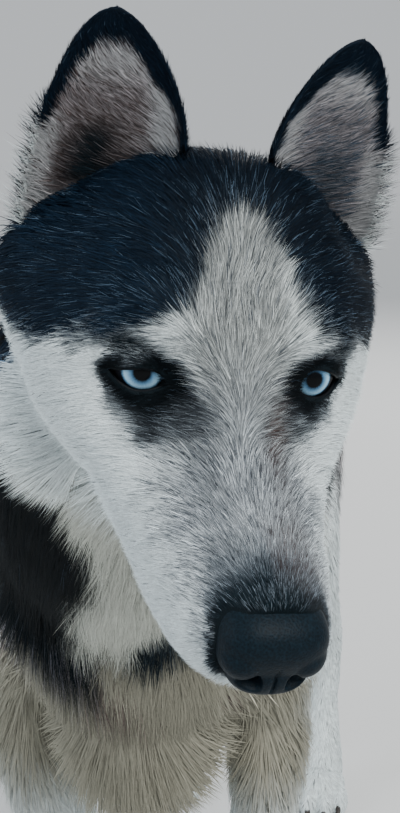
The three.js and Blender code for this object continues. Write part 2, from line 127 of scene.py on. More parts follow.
# %% Camera
CAMERA_PLACE = np.array([143.7, -856.0, 700.0])
CAMERA_HEADING = 9.9
CAMERA_DOWN = 14.3
FOCAL_PIXELS = 1200
PHOTO_HEIGHT_PIXELS = 813
SENSOR = 36

camera_data = bpy.data.cameras.new("camera")
camera_data.sensor_fit = "VERTICAL"
camera_data.sensor_height = SENSOR
camera_data.lens = SENSOR * FOCAL_PIXELS / PHOTO_HEIGHT_PIXELS
camera_data.clip_start = 0.01
camera_data.clip_end = 60
camera = bpy.data.objects.new("camera", camera_data)
camera.location = dog_to_frame(CAMERA_PLACE)
camera.rotation_euler = (math.radians(90 - CAMERA_DOWN), 0, math.radians(CAMERA_HEADING))
bpy.context.collection.objects.link(camera)
bpy.context.scene.camera = camera
print("camera", [round(value, 3) for value in camera.location], "lens", round(camera_data.lens, 1))

# %% Floor and light


def object_from(name, mesh_maker, material):
    data = bpy.data.meshes.new(name)
    mesh_maker.to_mesh(data)
    mesh_maker.free()
    made = bpy.data.objects.new(name, data)
    bpy.context.collection.objects.link(made)
    data.materials.append(material)
    data.shade_smooth()
    return made


def new_material(name):
    material = bpy.data.materials.new(name)
    material.use_nodes = True
    nodes = material.node_tree.nodes
    return material, nodes, material.node_tree.links, nodes["Principled BSDF"]


FLOOR_HALF = 12
FLOOR_DROP = 0.0006
# The floor's tone under the dog and far from it, and between which distances it changes, in metres
# Painted light: the floor lightens far from the dog, where the lamps don't reach, to meet the surroundings
FLOOR_TONES = [(0.68, 0.69, 0.69), (0.99, 0.99, 0.99)]
FLOOR_FADE = (1.5, 9)


def set_inputs(node, **values):
    """Sets inputs by name, written with _ for a space."""
    for name, value in values.items():
        node.inputs[name.replace("_", " ")].default_value = value


def set_ramp(ramp, tones):
    """Gives a fresh ramp its two end tones."""
    for stop, tone in zip(ramp.color_ramp.elements, tones):
        stop.color = (*tone, 1)


def floor_material():
    material, nodes, links, shader = new_material("pale_floor")
    place = nodes.new("ShaderNodeTexCoord")
    reach = nodes.new("ShaderNodeVectorMath")
    reach.operation = "LENGTH"
    far = nodes.new("ShaderNodeMapRange")
    set_inputs(far, From_Min=FLOOR_FADE[0], From_Max=FLOOR_FADE[1])
    # The tone is painted light that grows with distance from the dog
    ramp = nodes.new("ShaderNodeValToRGB")
    set_ramp(ramp, FLOOR_TONES)
    links.new(place.outputs["Object"], reach.inputs["Vector"])
    links.new(reach.outputs["Value"], far.inputs["Value"])
    links.new(far.outputs["Result"], ramp.inputs["Fac"])
    links.new(ramp.outputs["Color"], shader.inputs["Base Color"])
    set_inputs(shader, Roughness=0.9)
    return material


floor_mesh = bmesh.new()
bmesh.ops.create_grid(floor_mesh, x_segments=4, y_segments=4, size=FLOOR_HALF)
bmesh.ops.translate(floor_mesh, verts=floor_mesh.verts, vec=(0, 0, -FLOOR_DROP))
floor = object_from("floor", floor_mesh, floor_material())

world = bpy.data.worlds.new("pale_surroundings")
world.use_nodes = True
set_inputs(world.node_tree.nodes["Background"], Color=(0.92, 0.96, 1.0, 1), Strength=0.65)
bpy.context.scene.world = world


def soft_light(name, place, aim, size, power, colour):
    data = bpy.data.lights.new(name, "AREA")
    data.shape = "DISK"
    data.size = size
    data.energy = power
    data.color = colour
    lamp = bpy.data.objects.new(name, data)
    lamp.location = place
    lamp.rotation_euler = (Vector(aim) - Vector(place)).to_track_quat("-Z", "Y").to_euler()
    bpy.context.collection.objects.link(lamp)


BACK_AIM = (0, 0, 0.4)
HEAD_AIM = tuple(dog_to_frame(EYE_MIDDLE))
soft_light("key_light", (1.0, -1.5, 2.1), HEAD_AIM, 1.2, 62, (1.0, 0.98, 0.95))
soft_light("fill_light", (-1.9, -1.2, 1.3), HEAD_AIM, 1.6, 20, (0.88, 0.94, 1.0))
soft_light("back_light", (0.3, 2.4, 1.9), BACK_AIM, 1.8, 42, (1.0, 0.99, 0.97))
print("floor", 2 * FLOOR_HALF, "m wide, with three soft lights")

# %% [markdown]
# ## Body forms
# A dog's body parts are tubes: rings of a set width and height that follow a bent middle line. They
# could be sculpted by hand, but the same named stations make the solids, so the skin fits them.
# `around` is 0 on top of a tube and half a turn underneath; `grow` moves the surface out, and a
# negative one makes room for the coat.

# %% Tubes through stations
UP = np.array([0.0, 0, 1])
AHEAD = np.array([0.0, -1, 0])


def through(values, share):
    """A smooth value through evenly spaced stations."""
    last = len(values) - 1
    place = np.clip(share, 0, 1) * last
    first = np.minimum(place.astype(int), last - 1)
    part = place - first
    if values.ndim > 1:
        part = part[:, None]
    a, b, c, d = (values[np.clip(first + step, 0, last)] for step in (-1, 0, 1, 2))
    return b + 0.5 * part * (c - a + part * (2 * a - 5 * b + 4 * c - d + part * (3 * (b - c) + d - a)))


def blend(first, second, share):
    return first + (second - first) * share


class Tube:
    """A body form: rings on a bent middle line, with their width, height above and depth below it."""

    def __init__(self, stations, upward=UP):
        self.upward = upward
        table = np.array(stations, float)
        self.centre = table[:, :3]
        self.wide, self.up, self.down, self.square, self.lean = table[:, 3:].T

    def axes(self, share):
        """The middle line at a share of its length, and the directions along, up and aside there."""
        step = 0.01
        along = unit(through(self.centre, share + step) - through(self.centre, share - step))
        rise = unit(self.upward - along * (along @ self.upward)[:, None])
        return through(self.centre, share), along, rise, np.cross(along, rise)

    def surface(self, share, around, grow=0):
        """Places on the tube, moved out by grow."""
        centre, _, rise, side = self.axes(share)
        power = 2 / through(self.square, share)
        lift = grow + np.where(np.cos(around) > 0, through(self.up, share), through(self.down, share))
        wide = grow + through(self.wide, share) * (1 - through(self.lean, share) * np.cos(around))
        across = wide * np.sign(np.sin(around)) * np.abs(np.sin(around)) ** power
        height = lift * np.sign(np.cos(around)) * np.abs(np.cos(around)) ** power
        return centre + side * across[:, None] + rise * height[:, None]

    def nearest(self, points, count=160):
        """The share and turn of the tube at each point, and how far the point is out of its surface."""
        shares = np.linspace(0, 1, count)
        centres = through(self.centre, shares)
        best = np.full(len(points), 1e12)
        index = np.zeros(len(points), int)
        for number, centre in enumerate(centres):
            distance = ((points - centre) ** 2).sum(1)
            closer = distance < best
            best[closer] = distance[closer]
            index[closer] = number
        share = shares[index]
        centre, along, rise, side = self.axes(share)
        offset = points - centre
        across, height = (offset * side).sum(1), (offset * rise).sum(1)
        around = np.arctan2(across, height)
        ring = np.linalg.norm(self.surface(share, around) - centre, axis=1)
        beyond = np.linalg.norm(offset, axis=1) - ring
        return share, around, beyond, along


def station(y, z, wide, up, down, x=0, square=2, lean=0):
    """A ring's place and half sizes; a higher square makes it boxier, a lean narrower on top."""
    return x, y, z, wide, up, down, square, lean


# %% Stations of the head, in its own frame
SKULL = Tube([
    station(98, -6, 48, 32, 44),
    station(78, -8, 74, 61, 62, square=2.1),
    station(55, -12, 78, 74, 64, square=2.2),
    station(30, -15, 69, 68, 60, square=2.2),
    station(8, -18, 57, 50, 54, square=2.2),
    station(-10, -23, 48, 35, 44, square=2.3, lean=0.05),
    station(-26, -31, 40, 26, 34, square=2.4, lean=0.13),
    station(-46, -37, 33.5, 25, 27, square=2.5, lean=0.2),
    station(-66, -39, 29.5, 24, 23, square=2.5, lean=0.25),
    station(-84, -40, 25, 22, 18, square=2.4, lean=0.25),
    station(-96, -40, 17, 16, 12, square=2.2, lean=0.2),
])
JAW = Tube([
    station(40, -56, 42, 20, 24),
    station(5, -60, 35, 16, 20),
    station(-30, -60, 27, 12, 16),
    station(-60, -58, 21, 10, 13),
    station(-80, -56, 15, 8, 11),
    station(-88, -55, 9, 5, 7),
])

# %% Stations of the body
TRUNK = Tube([
    station(306, 492, 32, 28, 38),
    station(290, 486, 62, 56, 60),
    station(254, 482, 76, 74, 74),
    station(190, 476, 82, 88, 98),
    station(110, 466, 90, 98, 118, square=2.1),
    station(20, 456, 98, 110, 142, square=2.15),
    station(-70, 450, CHEST_HALF_WIDTH + 2, 124, 152, square=2.2),
    station(-150, CHEST_MIDDLE, CHEST_HALF_WIDTH, WITHERS_HEIGHT - CHEST_MIDDLE,
            CHEST_MIDDLE - CHEST_FLOOR, square=2.2),
    station(-218, 446, 95, 126, 128, square=2.1),
    station(-268, 444, 78, 88, 94),
    station(-294, 442, 52, 52, 58),
    station(-304, 440, 24, 24, 30),
])
NECK = Tube([
    station(-424, 622, 56, 50, 58, x=62),
    station(-390, 610, 78, 68, 84, x=50),
    station(-350, 586, 87, 78, 98, x=35),
    station(-304, 550, 92, 90, 110, x=18),
    station(-256, 512, 95, 98, 110, x=6),
    station(-208, 482, 95, 98, 100),
    station(-170, 462, 84, 78, 80),
])
FORE_LEG = Tube([
    station(-176, 470, 34, 60, 60, x=58),
    station(-180, 400, 40, 66, 62, x=66),
    station(-176, 330, 34, 48, 48, x=FORE_LEG_X + 4),
    station(-178, 270, 25, 32, 36, x=FORE_LEG_X + 1),
    station(-183, 215, 22, 25, 27, x=FORE_LEG_X),
    station(FORE_LEG_Y, 160, 20, 22, 22, x=FORE_LEG_X),
    station(FORE_LEG_Y - 2, 118, 22, 24, 23, x=FORE_LEG_X),
    station(FORE_LEG_Y - 5, 82, 21, 20, 20, x=FORE_LEG_X),
    station(FORE_LEG_Y - 14, 48, 25, 26, 24, x=FORE_LEG_X),
    station(FORE_LEG_Y - 24, 14, 27, 30, 30, x=FORE_LEG_X),
], AHEAD)
HIND_LEG = Tube([
    station(206, 528, 28, 50, 44, x=30),
    station(204, 470, 44, 82, 76, x=42),
    station(200, 414, 45, 90, 86, x=50),
    station(192, 358, 42, 80, 74, x=55),
    station(196, 304, 35, 60, 52, x=62),
    station(220, 254, 27, 40, 38, x=68),
    station(250, 208, 22, 29, 29, x=73),
    station(276, 172, 20, 24, 27, x=HOCK_X),
    station(HOCK_Y, 136, 18, 21, 21, x=HOCK_X),
    station(HOCK_Y - 3, 92, 18, 19, 19, x=HOCK_X - 1),
    station(HOCK_Y - 12, 52, 23, 25, 22, x=HOCK_X - 1),
    station(HOCK_Y - 22, 14, 26, 29, 28, x=HOCK_X - 1),
], AHEAD)
TAIL = Tube([
    station(276, 520, 24, 22, 22),
    station(316, 516, 34, 32, 32),
    station(350, 486, 41, 39, 39),
    station(370, 440, 46, 44, 44),
    station(379, 388, 49, 47, 47),
    station(384, 336, 49, 48, 47),
    station(389, 284, 46, 45, 44),
    station(397, 236, 40, 39, 38),
    station(407, 196, 32, 31, 31),
    station(416, 168, 24, 24, 24),
])

# %% [markdown]
# ## Ways of making meshes
# A grid is the easiest start for a bent form: its corners are carried to their place by a formula,
# the seam is merged and the ends are filled. Overlapping closed forms are then fused by a voxel
# remesh, which leaves soft creases as under real skin, or joined by a Boolean where an edge is crisp.

# %% Mesh helpers
MERGE_GAP = 1e-3


def bent_grid(across, along, shape):
    """A closed tube from a grid: shape(u, v) places its corners, round in u and along v."""
    made = bmesh.new()
    bmesh.ops.create_grid(made, x_segments=across, y_segments=along, size=0.5)
    places = np.array([corner.co[:2] for corner in made.verts]) + 0.5
    for corner, point in zip(made.verts, shape(places[:, 0], places[:, 1])):
        corner.co = point
    bmesh.ops.remove_doubles(made, verts=made.verts, dist=MERGE_GAP)
    bmesh.ops.holes_fill(made, edges=made.edges, sides=0)
    bmesh.ops.recalc_face_normals(made, faces=made.faces)
    return made


def egg(centre, half, turn=(0, 0, 0), sides=32, rings=24, square=2):
    """An egg with its own half sizes, turned by degrees about X, Y and Z in that order."""
    made = bmesh.new()
    bmesh.ops.create_uvsphere(made, u_segments=sides, v_segments=rings, radius=1)
    if square != 2:
        for corner in made.verts:
            corner.co /= sum(abs(value) ** square for value in corner.co) ** (1 / square)
    bmesh.ops.scale(made, verts=made.verts, vec=half)
    for angle, axis in zip(turn, "XYZ"):
        turned = Matrix.Rotation(math.radians(angle), 3, axis)
        bmesh.ops.rotate(made, verts=made.verts, cent=(0, 0, 0), matrix=turned)
    bmesh.ops.translate(made, verts=made.verts, vec=centre)
    return made


def mirrored(maker):
    """The same bmesh, turned into its mirror image."""
    bmesh.ops.scale(maker, verts=maker.verts, vec=(-1, 1, 1))
    bmesh.ops.reverse_faces(maker, faces=maker.faces)
    return maker


def both_sides(maker):
    """The same form and its mirror image on the dog's other side."""
    return [maker, mirrored(maker.copy())]


def loose_object(maker):
    """A scratch object for modifiers to work on; the bmesh is used up."""
    data = bpy.data.meshes.new("making")
    maker.to_mesh(data)
    maker.free()
    made = bpy.data.objects.new("making", data)
    bpy.context.collection.objects.link(made)
    return made


def baked(made):
    """The object's mesh with its modifiers applied, as a bmesh; the object is removed."""
    bpy.context.view_layer.update()
    graph = bpy.context.evaluated_depsgraph_get()
    result = bmesh.new()
    result.from_object(made, graph)
    bpy.data.objects.remove(made)
    return result


def together(makers):
    """Several bmeshes as one."""
    whole = bmesh.new()
    for maker in makers:
        data = bpy.data.meshes.new("piece")
        maker.to_mesh(data)
        maker.free()
        whole.from_mesh(data)
        bpy.data.meshes.remove(data)
    return whole


def remeshed(makers, voxel, softness=2):
    """One surface round overlapping closed forms, smoothed a few times."""
    made = loose_object(together(makers))
    remesh = made.modifiers.new("remesh", "REMESH")
    remesh.mode = "VOXEL"
    remesh.voxel_size = voxel
    soften = made.modifiers.new("soften", "SMOOTH")
    soften.factor = 0.5
    soften.iterations = softness
    return baked(made)


def combined(base, other, operation):
    """Two closed forms joined or cut with a crisp edge."""
    base = loose_object(base)
    other = loose_object(other)
    cut = base.modifiers.new("cut", "BOOLEAN")
    cut.operation = operation
    cut.solver = "MANIFOLD"
    cut.object = other
    result = baked(base)
    bpy.data.objects.remove(other)
    return result


def corner_array(maker):
    return np.array([corner.co for corner in maker.verts])


def carried(maker, carry):
    """The same bmesh with its corners moved by a function of their places."""
    points = carry(corner_array(maker))
    for corner, point in zip(maker.verts, points):
        corner.co = point
    return maker


# %% [markdown]
# ## Skin of the head
# The skull tube is bent into a face by a few soft pushes: the sockets under the brow, the stop, the
# brow ridges, the cheekbones and the whisker pads. The skin lies under the outline by the depth of
# the coat, which is thin on the muzzle and deep on the cheeks and the nape. A formula moves every
# corner by its place alone, so it can be tuned without picking a single corner.

# %% Skull, jaw and lids
FACE_PUSHES = [
    # spot, spread, move
    ((32, -14, -2), 12, (-2, 9, -2)),
    ((18, -26, -12), 12, (-3, 3, -2)),
    ((30, -4, 17), 12, (2, -5, 3)),
    ((50, 6, -26), 18, (2, -2, 0)),
    ((0, 0, 24), 9, (0, 2, -2.5)),
    ((52, 44, 36), 14, (-3, 3, -9)),
]
LID = 2.2
HEAD_DEPTH_ALONG = [-90, -60, -30, 0, 30, 60, 90]
HEAD_DEPTH = [1.6, 2, 2.4, 3.2, 4.5, 7, 12]
# How much deeper the skin of the cheeks lies, and how deep that of the jaw
CHEEK_DEPTH = 5
JAW_DEPTH = 2.5


def face_pushed(points):
    side = np.sign(points[:, :1]) * [1, 0, 0] + [0, 1, 1]
    half = half_of(points)
    moved = half.copy()
    # No push carries skin sideways at the middle of the face, where it would fold
    off_middle = smooth_step(0, 9, half[:, :1])
    for spot, spread, move in FACE_PUSHES:
        nearness = np.exp(-((half - spot) ** 2).sum(1) / (2 * spread ** 2))[:, None]
        moved += nearness * np.array(move) * (off_middle * [1, 0, 0] + [0, 1, 1])
    return moved * side


def head_coat_depth(points):
    """How far the skin lies under the outline of the coat, in the head's frame."""
    back = np.interp(points[:, 1], HEAD_DEPTH_ALONG, HEAD_DEPTH)
    cheek = smooth_step(10, 50, points[:, 1]) * smooth_step(0, -30, points[:, 2])
    return back + CHEEK_DEPTH * cheek


def skull_shape(u, v):
    """The skull under its coat; its front end rises to a blunt bed for the nose pad."""
    around = u * 2 * math.pi
    outer = SKULL.surface(v, around)
    bed = smooth_step(-83, -95, outer[:, 1]) * (1.2 + 4.6 * np.maximum(np.cos(around), 0))
    return face_pushed(SKULL.surface(v, around, bed - head_coat_depth(outer)))


def jaw_shape(u, v):
    return JAW.surface(v, u * 2 * math.pi, -JAW_DEPTH)


HEAD_VOXEL = 1.6
LID_BALL = EYEBALL_RADIUS + LID - 0.4
# The full cheeks behind the corner of the jaw
CHEEK_CENTRE = (41, 60, -62)
CHEEK_HALF = (24, 28, 33)
lids = both_sides(egg(EYE_CENTRE, [LID_BALL] * 3))
cheeks = both_sides(egg(CHEEK_CENTRE, CHEEK_HALF))
skull = bent_grid(150, 140, skull_shape)
head_skin = remeshed([skull, bent_grid(64, 40, jaw_shape), *lids, *cheeks], HEAD_VOXEL)
print("head skin", len(head_skin.faces), "faces")

# %% [markdown]
# The eye looks out through an almond opening in a ball of lid round it. The opening is cut along a
# line that turns out and up from the muzzle. The right eye is half closed, as in the photo, so the
# upper lid runs over the middle of its iris. A Boolean cuts it, as a remesh would round its edge off.

# %% Eye openings
LEFT, RIGHT = 1, -1
LIDS_OUT, LIDS_UP = 14, 18
LIDS_TURN = turn_matrix(LIDS_OUT, -LIDS_UP, 0)
SOCKET_GAP = 0.3
OPENING_INNER = (-8.7, -3.3)
OPENING_OUTER = (11.3, -2.8)
OPENING_TOP = {LEFT: (-6, 10.5), RIGHT: (-5, 5.4)}
OPENING_BOTTOM = (2, -12.2)
OPENING_REACH = 40


def quadratic(start, pull, end, share):
    """A bend from start to end that is pulled towards a third place."""
    start, pull, end = (np.array(point, float) for point in (start, pull, end))
    share = share[:, None]
    return (1 - share) ** 2 * start + 2 * share * (1 - share) * pull + share ** 2 * end


def almond(turn, side, swell=0):
    """The outline of the eye opening, seen along its axis; turn runs from 0 to 1 round it."""
    over = quadratic(OPENING_INNER, OPENING_TOP[side], OPENING_OUTER, np.clip(turn * 2, 0, 1))
    under = quadratic(OPENING_OUTER, OPENING_BOTTOM, OPENING_INNER, np.clip(turn * 2 - 1, 0, 1))
    outline = np.where((turn < 0.5)[:, None], over, under)
    return outline + swell * unit(outline)


def lids_to_head(points):
    return points @ LIDS_TURN.T + EYE_CENTRE


def eye_opening(side):
    """What is cut away for an eye: the room of its ball and a slot from it to the front."""
    def slot(u, v):
        outline = almond(u, side)
        return lids_to_head(np.stack([outline[:, 0], -OPENING_REACH * v, outline[:, 1]], 1))

    ball = egg(EYE_CENTRE, [EYEBALL_RADIUS + SOCKET_GAP] * 3, sides=48, rings=32)
    made = combined(ball, bent_grid(48, 6, slot), "UNION")
    return made if side == LEFT else mirrored(made)


for side in (LEFT, RIGHT):
    head_skin = combined(head_skin, eye_opening(side), "DIFFERENCE")
print("head skin with eye openings", len(head_skin.faces), "faces")

# %% [markdown]
# ## Ears
# Each ear is a cupped leaf, thick at the root, its hollow facing forward and a little out. A flat leaf
# with a solidify modifier would do, but a closed shell bent from a grid gives the thick root and the
# thin rim in one formula, and joins the skull cleanly.

# %% Ear shells
EAR_INNER_ROOT = np.array([15.0, 45, 46])
EAR_OUTER_ROOT = np.array([67.0, 62, 6])
EAR_TIP = np.array([43.0, 61, 97])
EAR_HALF_WIDTH = 30
EAR_CUP_DEPTH, EAR_TIP_DEPTH = 24, 5
EAR_THICK = 6.5
EAR_SWEEP = 1.35
EAR_SKIN_SHARE = 0.7
# Which way an ear's width and its hollow's back face near the tip
EAR_LEVEL = np.array([1, 0.22, 0])
EAR_BACK = np.array([-0.2, 1, 0])


def ear_surface(across, rise, front, thickness=1.0):
    """A spot on an ear: across runs from -1 inside to 1 outside, rise from the root to the tip."""
    across, rise, front = np.broadcast_arrays(across, rise, front)
    root_middle = (EAR_INNER_ROOT + EAR_OUTER_ROOT) / 2
    chord = unit(EAR_OUTER_ROOT - EAR_INNER_ROOT)
    fade = rise[:, None] ** 0.6
    level = unit(chord * (1 - fade) + EAR_LEVEL * fade)
    middle = root_middle + (EAR_TIP - root_middle) * rise[:, None]
    middle = middle - level * (2 * np.sin(math.pi * rise))[:, None]
    narrowing = (1 - 0.992 * rise ** 1.75) ** 0.57
    depth = blend(EAR_CUP_DEPTH, EAR_TIP_DEPTH, rise ** 0.7) * narrowing ** 0.5
    swing = across * EAR_SWEEP
    full = EAR_THICK * (1 - 0.45 * rise) * (0.45 + 0.55 * np.cos(swing * 1.07))
    spare = full * (1 - thickness) / 2
    thick = np.where(front, full - spare, spare)
    sideways = EAR_HALF_WIDTH * narrowing * np.sin(swing) / math.sin(EAR_SWEEP)
    cup = depth * (np.cos(swing) - 0.35) - thick
    return middle + level * sideways[:, None] + EAR_BACK * cup[:, None]


def ear_shape(u, v):
    """An ear's skin: half of the grid is its front, the other half its back."""
    front = u < 0.5
    across = np.where(front, 4 * u - 1, 3 - 4 * u)
    return ear_surface(across, v, front, EAR_SKIN_SHARE)


ear_pair = both_sides(bent_grid(60, 40, ear_shape))
for ear in ear_pair:
    bmesh.ops.recalc_face_normals(ear, faces=ear.faces)
    head_skin = combined(head_skin, ear, "UNION")
head_skin = carried(head_skin, head_to_dog)
print("head skin with ears", len(head_skin.faces), "faces")

# %% [markdown]
# ## Skin of the body
# Trunk, neck, legs, paws and tail overlap and are fused by a coarser remesh, whose soft creases look
# like skin that runs from one to the next. The neck and the tail carry the longest coat, so their
# skin lies deepest. Joined tubes without the remesh would show a sharp seam wherever the coat is short.

# %% Body skin
RUFF_DEPTH = 19
TRUNK_DEPTH = 11
TAIL_DEPTH = 24
BODY_VOXEL = 5
PAW_VOXEL = 2.6
# The deep front of the chest, between the forelegs
BRISKET_CENTRE = (0, -232, 366)
BRISKET_HALF = (48, 50, 70)
# The shoulders under their coat; the right one stands out a little, as the head turns away from it
SHOULDER_RIGHT = ((-72, -186, 322), (29, 48, 84))
SHOULDER_LEFT = ((70, -180, 326), (23, 46, 84))


LEG_DEPTH_ALONG = [0, 0.3, 0.5, 0.75, 1]
LEG_DEPTH = [10, 9, 5, 3.2, 2.4]


def leg_depth(share):
    return np.interp(share, LEG_DEPTH_ALONG, LEG_DEPTH)


def tube_form(tube, depth, across, along):
    """A tube as a closed form, a coat's depth inside its outline."""
    def shape(u, v):
        inset = depth(v) if callable(depth) else depth
        return tube.surface(v, u * 2 * math.pi, -inset)
    return bent_grid(across, along, shape)


# Each toe's place across the paw and how far it reaches ahead of the leg
TOES = [(-22, 40), (-8, 52), (8, 52), (22, 40)]
TOE_HALF, TOE_HEIGHT = (10.5, 19, 16), 15
HEEL_HALF, HEEL_HEIGHT, HEEL_REACH = (28, 36, 23), 20, 20
PAW_COAT = 1.8


def paw_forms(x, y, scale):
    forms = []
    for across, reach in TOES:
        half = [size * scale - PAW_COAT for size in TOE_HALF]
        centre = (x + across * scale, y - reach * scale, TOE_HEIGHT * scale)
        forms.append(egg(centre, half, (0, 0, across * 0.5), 20, 14))
    heel = [size * scale - PAW_COAT for size in HEEL_HALF]
    forms.append(egg((x, y - HEEL_REACH * scale, HEEL_HEIGHT * scale), heel, (-8, 0, 0), 24, 16))
    return forms


# Where the paws are, and their size
PAWS = [(FORE_LEG_X, FORE_LEG_Y, 1.0), (HOCK_X - 1, HOCK_Y - 12, 0.96)]
leg_forms = [tube_form(FORE_LEG, leg_depth, 40, 90), tube_form(HIND_LEG, leg_depth, 40, 90)]
body_forms = [
    tube_form(TRUNK, TRUNK_DEPTH, 90, 90),
    tube_form(NECK, RUFF_DEPTH, 80, 50),
    tube_form(TAIL, TAIL_DEPTH, 32, 60),
    egg(BRISKET_CENTRE, BRISKET_HALF),
    egg(*SHOULDER_RIGHT),
    egg(*SHOULDER_LEFT),
]
for form in leg_forms:
    body_forms += both_sides(form)
body_skin = remeshed(body_forms, BODY_VOXEL, 6)
for x, y, scale in PAWS:
    for made in both_sides(remeshed(paw_forms(x, y, scale), PAW_VOXEL)):
        body_skin = combined(body_skin, made, "UNION")
skin_mesh = combined(head_skin, body_skin, "UNION")
print("whole skin", len(skin_mesh.faces), "faces")

# %% The soles stand flat on the floor
bmesh.ops.bisect_plane(skin_mesh, geom=[*skin_mesh.verts, *skin_mesh.edges, *skin_mesh.faces],
                       plane_co=(0, 0, 0), plane_no=(0, 0, 1), clear_inner=True)
bmesh.ops.holes_fill(skin_mesh, edges=skin_mesh.edges, sides=0)
bmesh.ops.triangulate(skin_mesh, faces=skin_mesh.faces)
print("skin is", len(skin_mesh.faces), "triangles")

# %% [markdown]
# ## Markings
# A black and white husky: a black cap with slate streaks, a grey-white blaze, dark rings round the eyes,
# a grey bridge that darkens to the nose, white cheeks, a black neck and saddle, a white throat strip
# and white legs. Each rule tells, for a spot, the chance of a dark hair and the tones of both kinds,
# so borders come out as mixed hairs and not as painted lines. Skin and coat use the same rules, and
# no picture is needed.

# %% Tones and noise
WHITE = np.array([0.75, 0.835, 0.845])
CREAM = np.array([0.50, 0.52, 0.46])
# The breast's beige, darkened by painted shade as under the head
BREAST_BEIGE_IN_PAINTED_SHADE = np.array([0.27, 0.262, 0.208])
BLAZE = np.array([0.31, 0.33, 0.315])
BRIDGE_LIGHT = np.array([0.46, 0.505, 0.53])
BRIDGE_DARK = np.array([0.045, 0.053, 0.064])
NOSE_LIGHT = np.array([0.26, 0.32, 0.38])
SLATE = np.array([0.07, 0.11, 0.16])
BLACK = np.array([0.0030, 0.0062, 0.0085])
# A bluish black: the coat's black with a painted blue sheen
CAP_BLACK_AND_SHEEN = np.array([0.0026, 0.0072, 0.0145])
BROWN = np.array([0.040, 0.029, 0.027])
# Grey and dark hairs that paint shade on the thigh; the grey also mixes into the saddle's border
THIGH_LIGHT = np.array([0.30, 0.27, 0.285])
THIGH_DARK = np.array([0.05, 0.048, 0.05])
EAR_LIGHT = np.array([0.21, 0.195, 0.205])
EAR_PALE = np.array([0.34, 0.35, 0.36])


WAVES = 8


def mottle(points, size, seed):
    """Smooth noise from -1 to 1 whose patches are about the given size."""
    waves = np.random.default_rng(seed)
    total = np.zeros(len(points))
    for _ in range(WAVES):
        direction = unit(waves.normal(size=3)) * (2 * math.pi / (size * waves.uniform(1.2, 3.2)))
        total += np.sin(points @ direction + waves.uniform(0, 2 * math.pi))
    return np.clip(total / 3.2, -1, 1)


class Paint:
    """The chance of a dark hair and the two tones at each spot, laid on in order."""

    def __init__(self, count, chance=0, light=WHITE, dark=BRIDGE_DARK):
        self.chance = np.full(count, float(chance))
        self.light = np.tile(light, (count, 1))
        self.dark = np.tile(dark, (count, 1))

    def lay(self, share, chance=None, light=None, dark=None):
        if chance is not None:
            self.chance += (chance - self.chance) * share
        if light is not None:
            self.light += (light - self.light) * share[:, None]
        if dark is not None:
            self.dark += (dark - self.dark) * share[:, None]


# %% Markings of the head
CAP_ACROSS = [0, 3, 7, 11, 14, 16.2, 18.3, 21.2, 25.2, 31, 37, 42, 46.5, 51, 56, 61, 66.5, 71, 90]
CAP_LEVEL = [51, 49.5, 46, 41.5, 36.8, 32.4, 27.8, 24.9, 20.9, 17.1, 13.3, 10.4, 8.7, 6.1, 2.5, -2, -8.2,
             -13.5, -36]
CAP_FRONT = 19
NEAR_WHITE = 0.012
# The blaze leans this much to the dog's left, half way up
BLAZE_LEAN = 3
BRIDGE_ALONG = [-93, -78, -64, -45, -25, -5]
BRIDGE_LEVEL = [-38, -34, -33, -30, -18, 5]
CHEEK_BACK = 72
NAPE_LEVEL = 40
# How far the dark patch reaches from the eye, by degrees: 0 is outward and 90 is up
GOGGLE_TURN = [-180, -150, -120, -90, -60, -30, 0, 30, 60, 90, 120, 150, 180]
GOGGLE_RIGHT = [14.4, 12, 12, 13.5, 14.3, 13.5, 16.5, 11, 10, 10.5, 12, 13.5, 14.4]
GOGGLE_LEFT = [11.5, 10, 9, 9, 10, 11, 12.5, 13, 12, 12.5, 14, 13.5, 11.5]
# Where that patch has its middle, across and up
GOGGLE_X, GOGGLE_Z = EYE_SPACING / 2, -0.5
NOSE_MIDDLE = np.array([0, -92.5, -34])
NOSE_HALF = np.array([17.2, 12.5, 12.8])


def muzzle_spot(share, turn, lift=0):
    """A place on the muzzle's skin; turn is measured from its top to the dog's left."""
    share, turn = np.atleast_1d(share), np.atleast_1d(turn)
    outer = SKULL.surface(share, turn)
    return SKULL.surface(share, turn, lift - head_coat_depth(outer))


# Four rows of whisker roots on each side of the muzzle: shares and turns on the skull's tube
WHISKER_ROWS = [(turn, share + 0.012 * row) for row, turn in enumerate((1.62, 1.8, 1.98, 2.16))
                for share in (0.68, 0.725, 0.77, 0.815)]
whisker_roots = np.concatenate([muzzle_spot(share, turn) for turn, share in WHISKER_ROWS])
WHISKER_DOT = 0.85
# The closed mouth shows as a dark line from under the nose to below the eye
mouth_line = muzzle_spot(np.linspace(0.6, 0.96, 60), np.linspace(2.3, 2.62, 60))
LIP = 1.1


def near_spots(points, spots, radius, fringe):
    """How much each point lies on one of the spots, on either side of the head."""
    half = half_of(points)
    gap = np.full(len(points), 99.0)
    for spot in spots:
        gap = np.minimum(gap, np.linalg.norm(half - spot, axis=1))
    return smooth_step(radius * fringe, radius * 0.6, gap)


def nose_gap(points):
    """About how far each point is from the nose pad."""
    return 14 * (np.linalg.norm((points - NOSE_MIDDLE) / NOSE_HALF, axis=1) - 1)


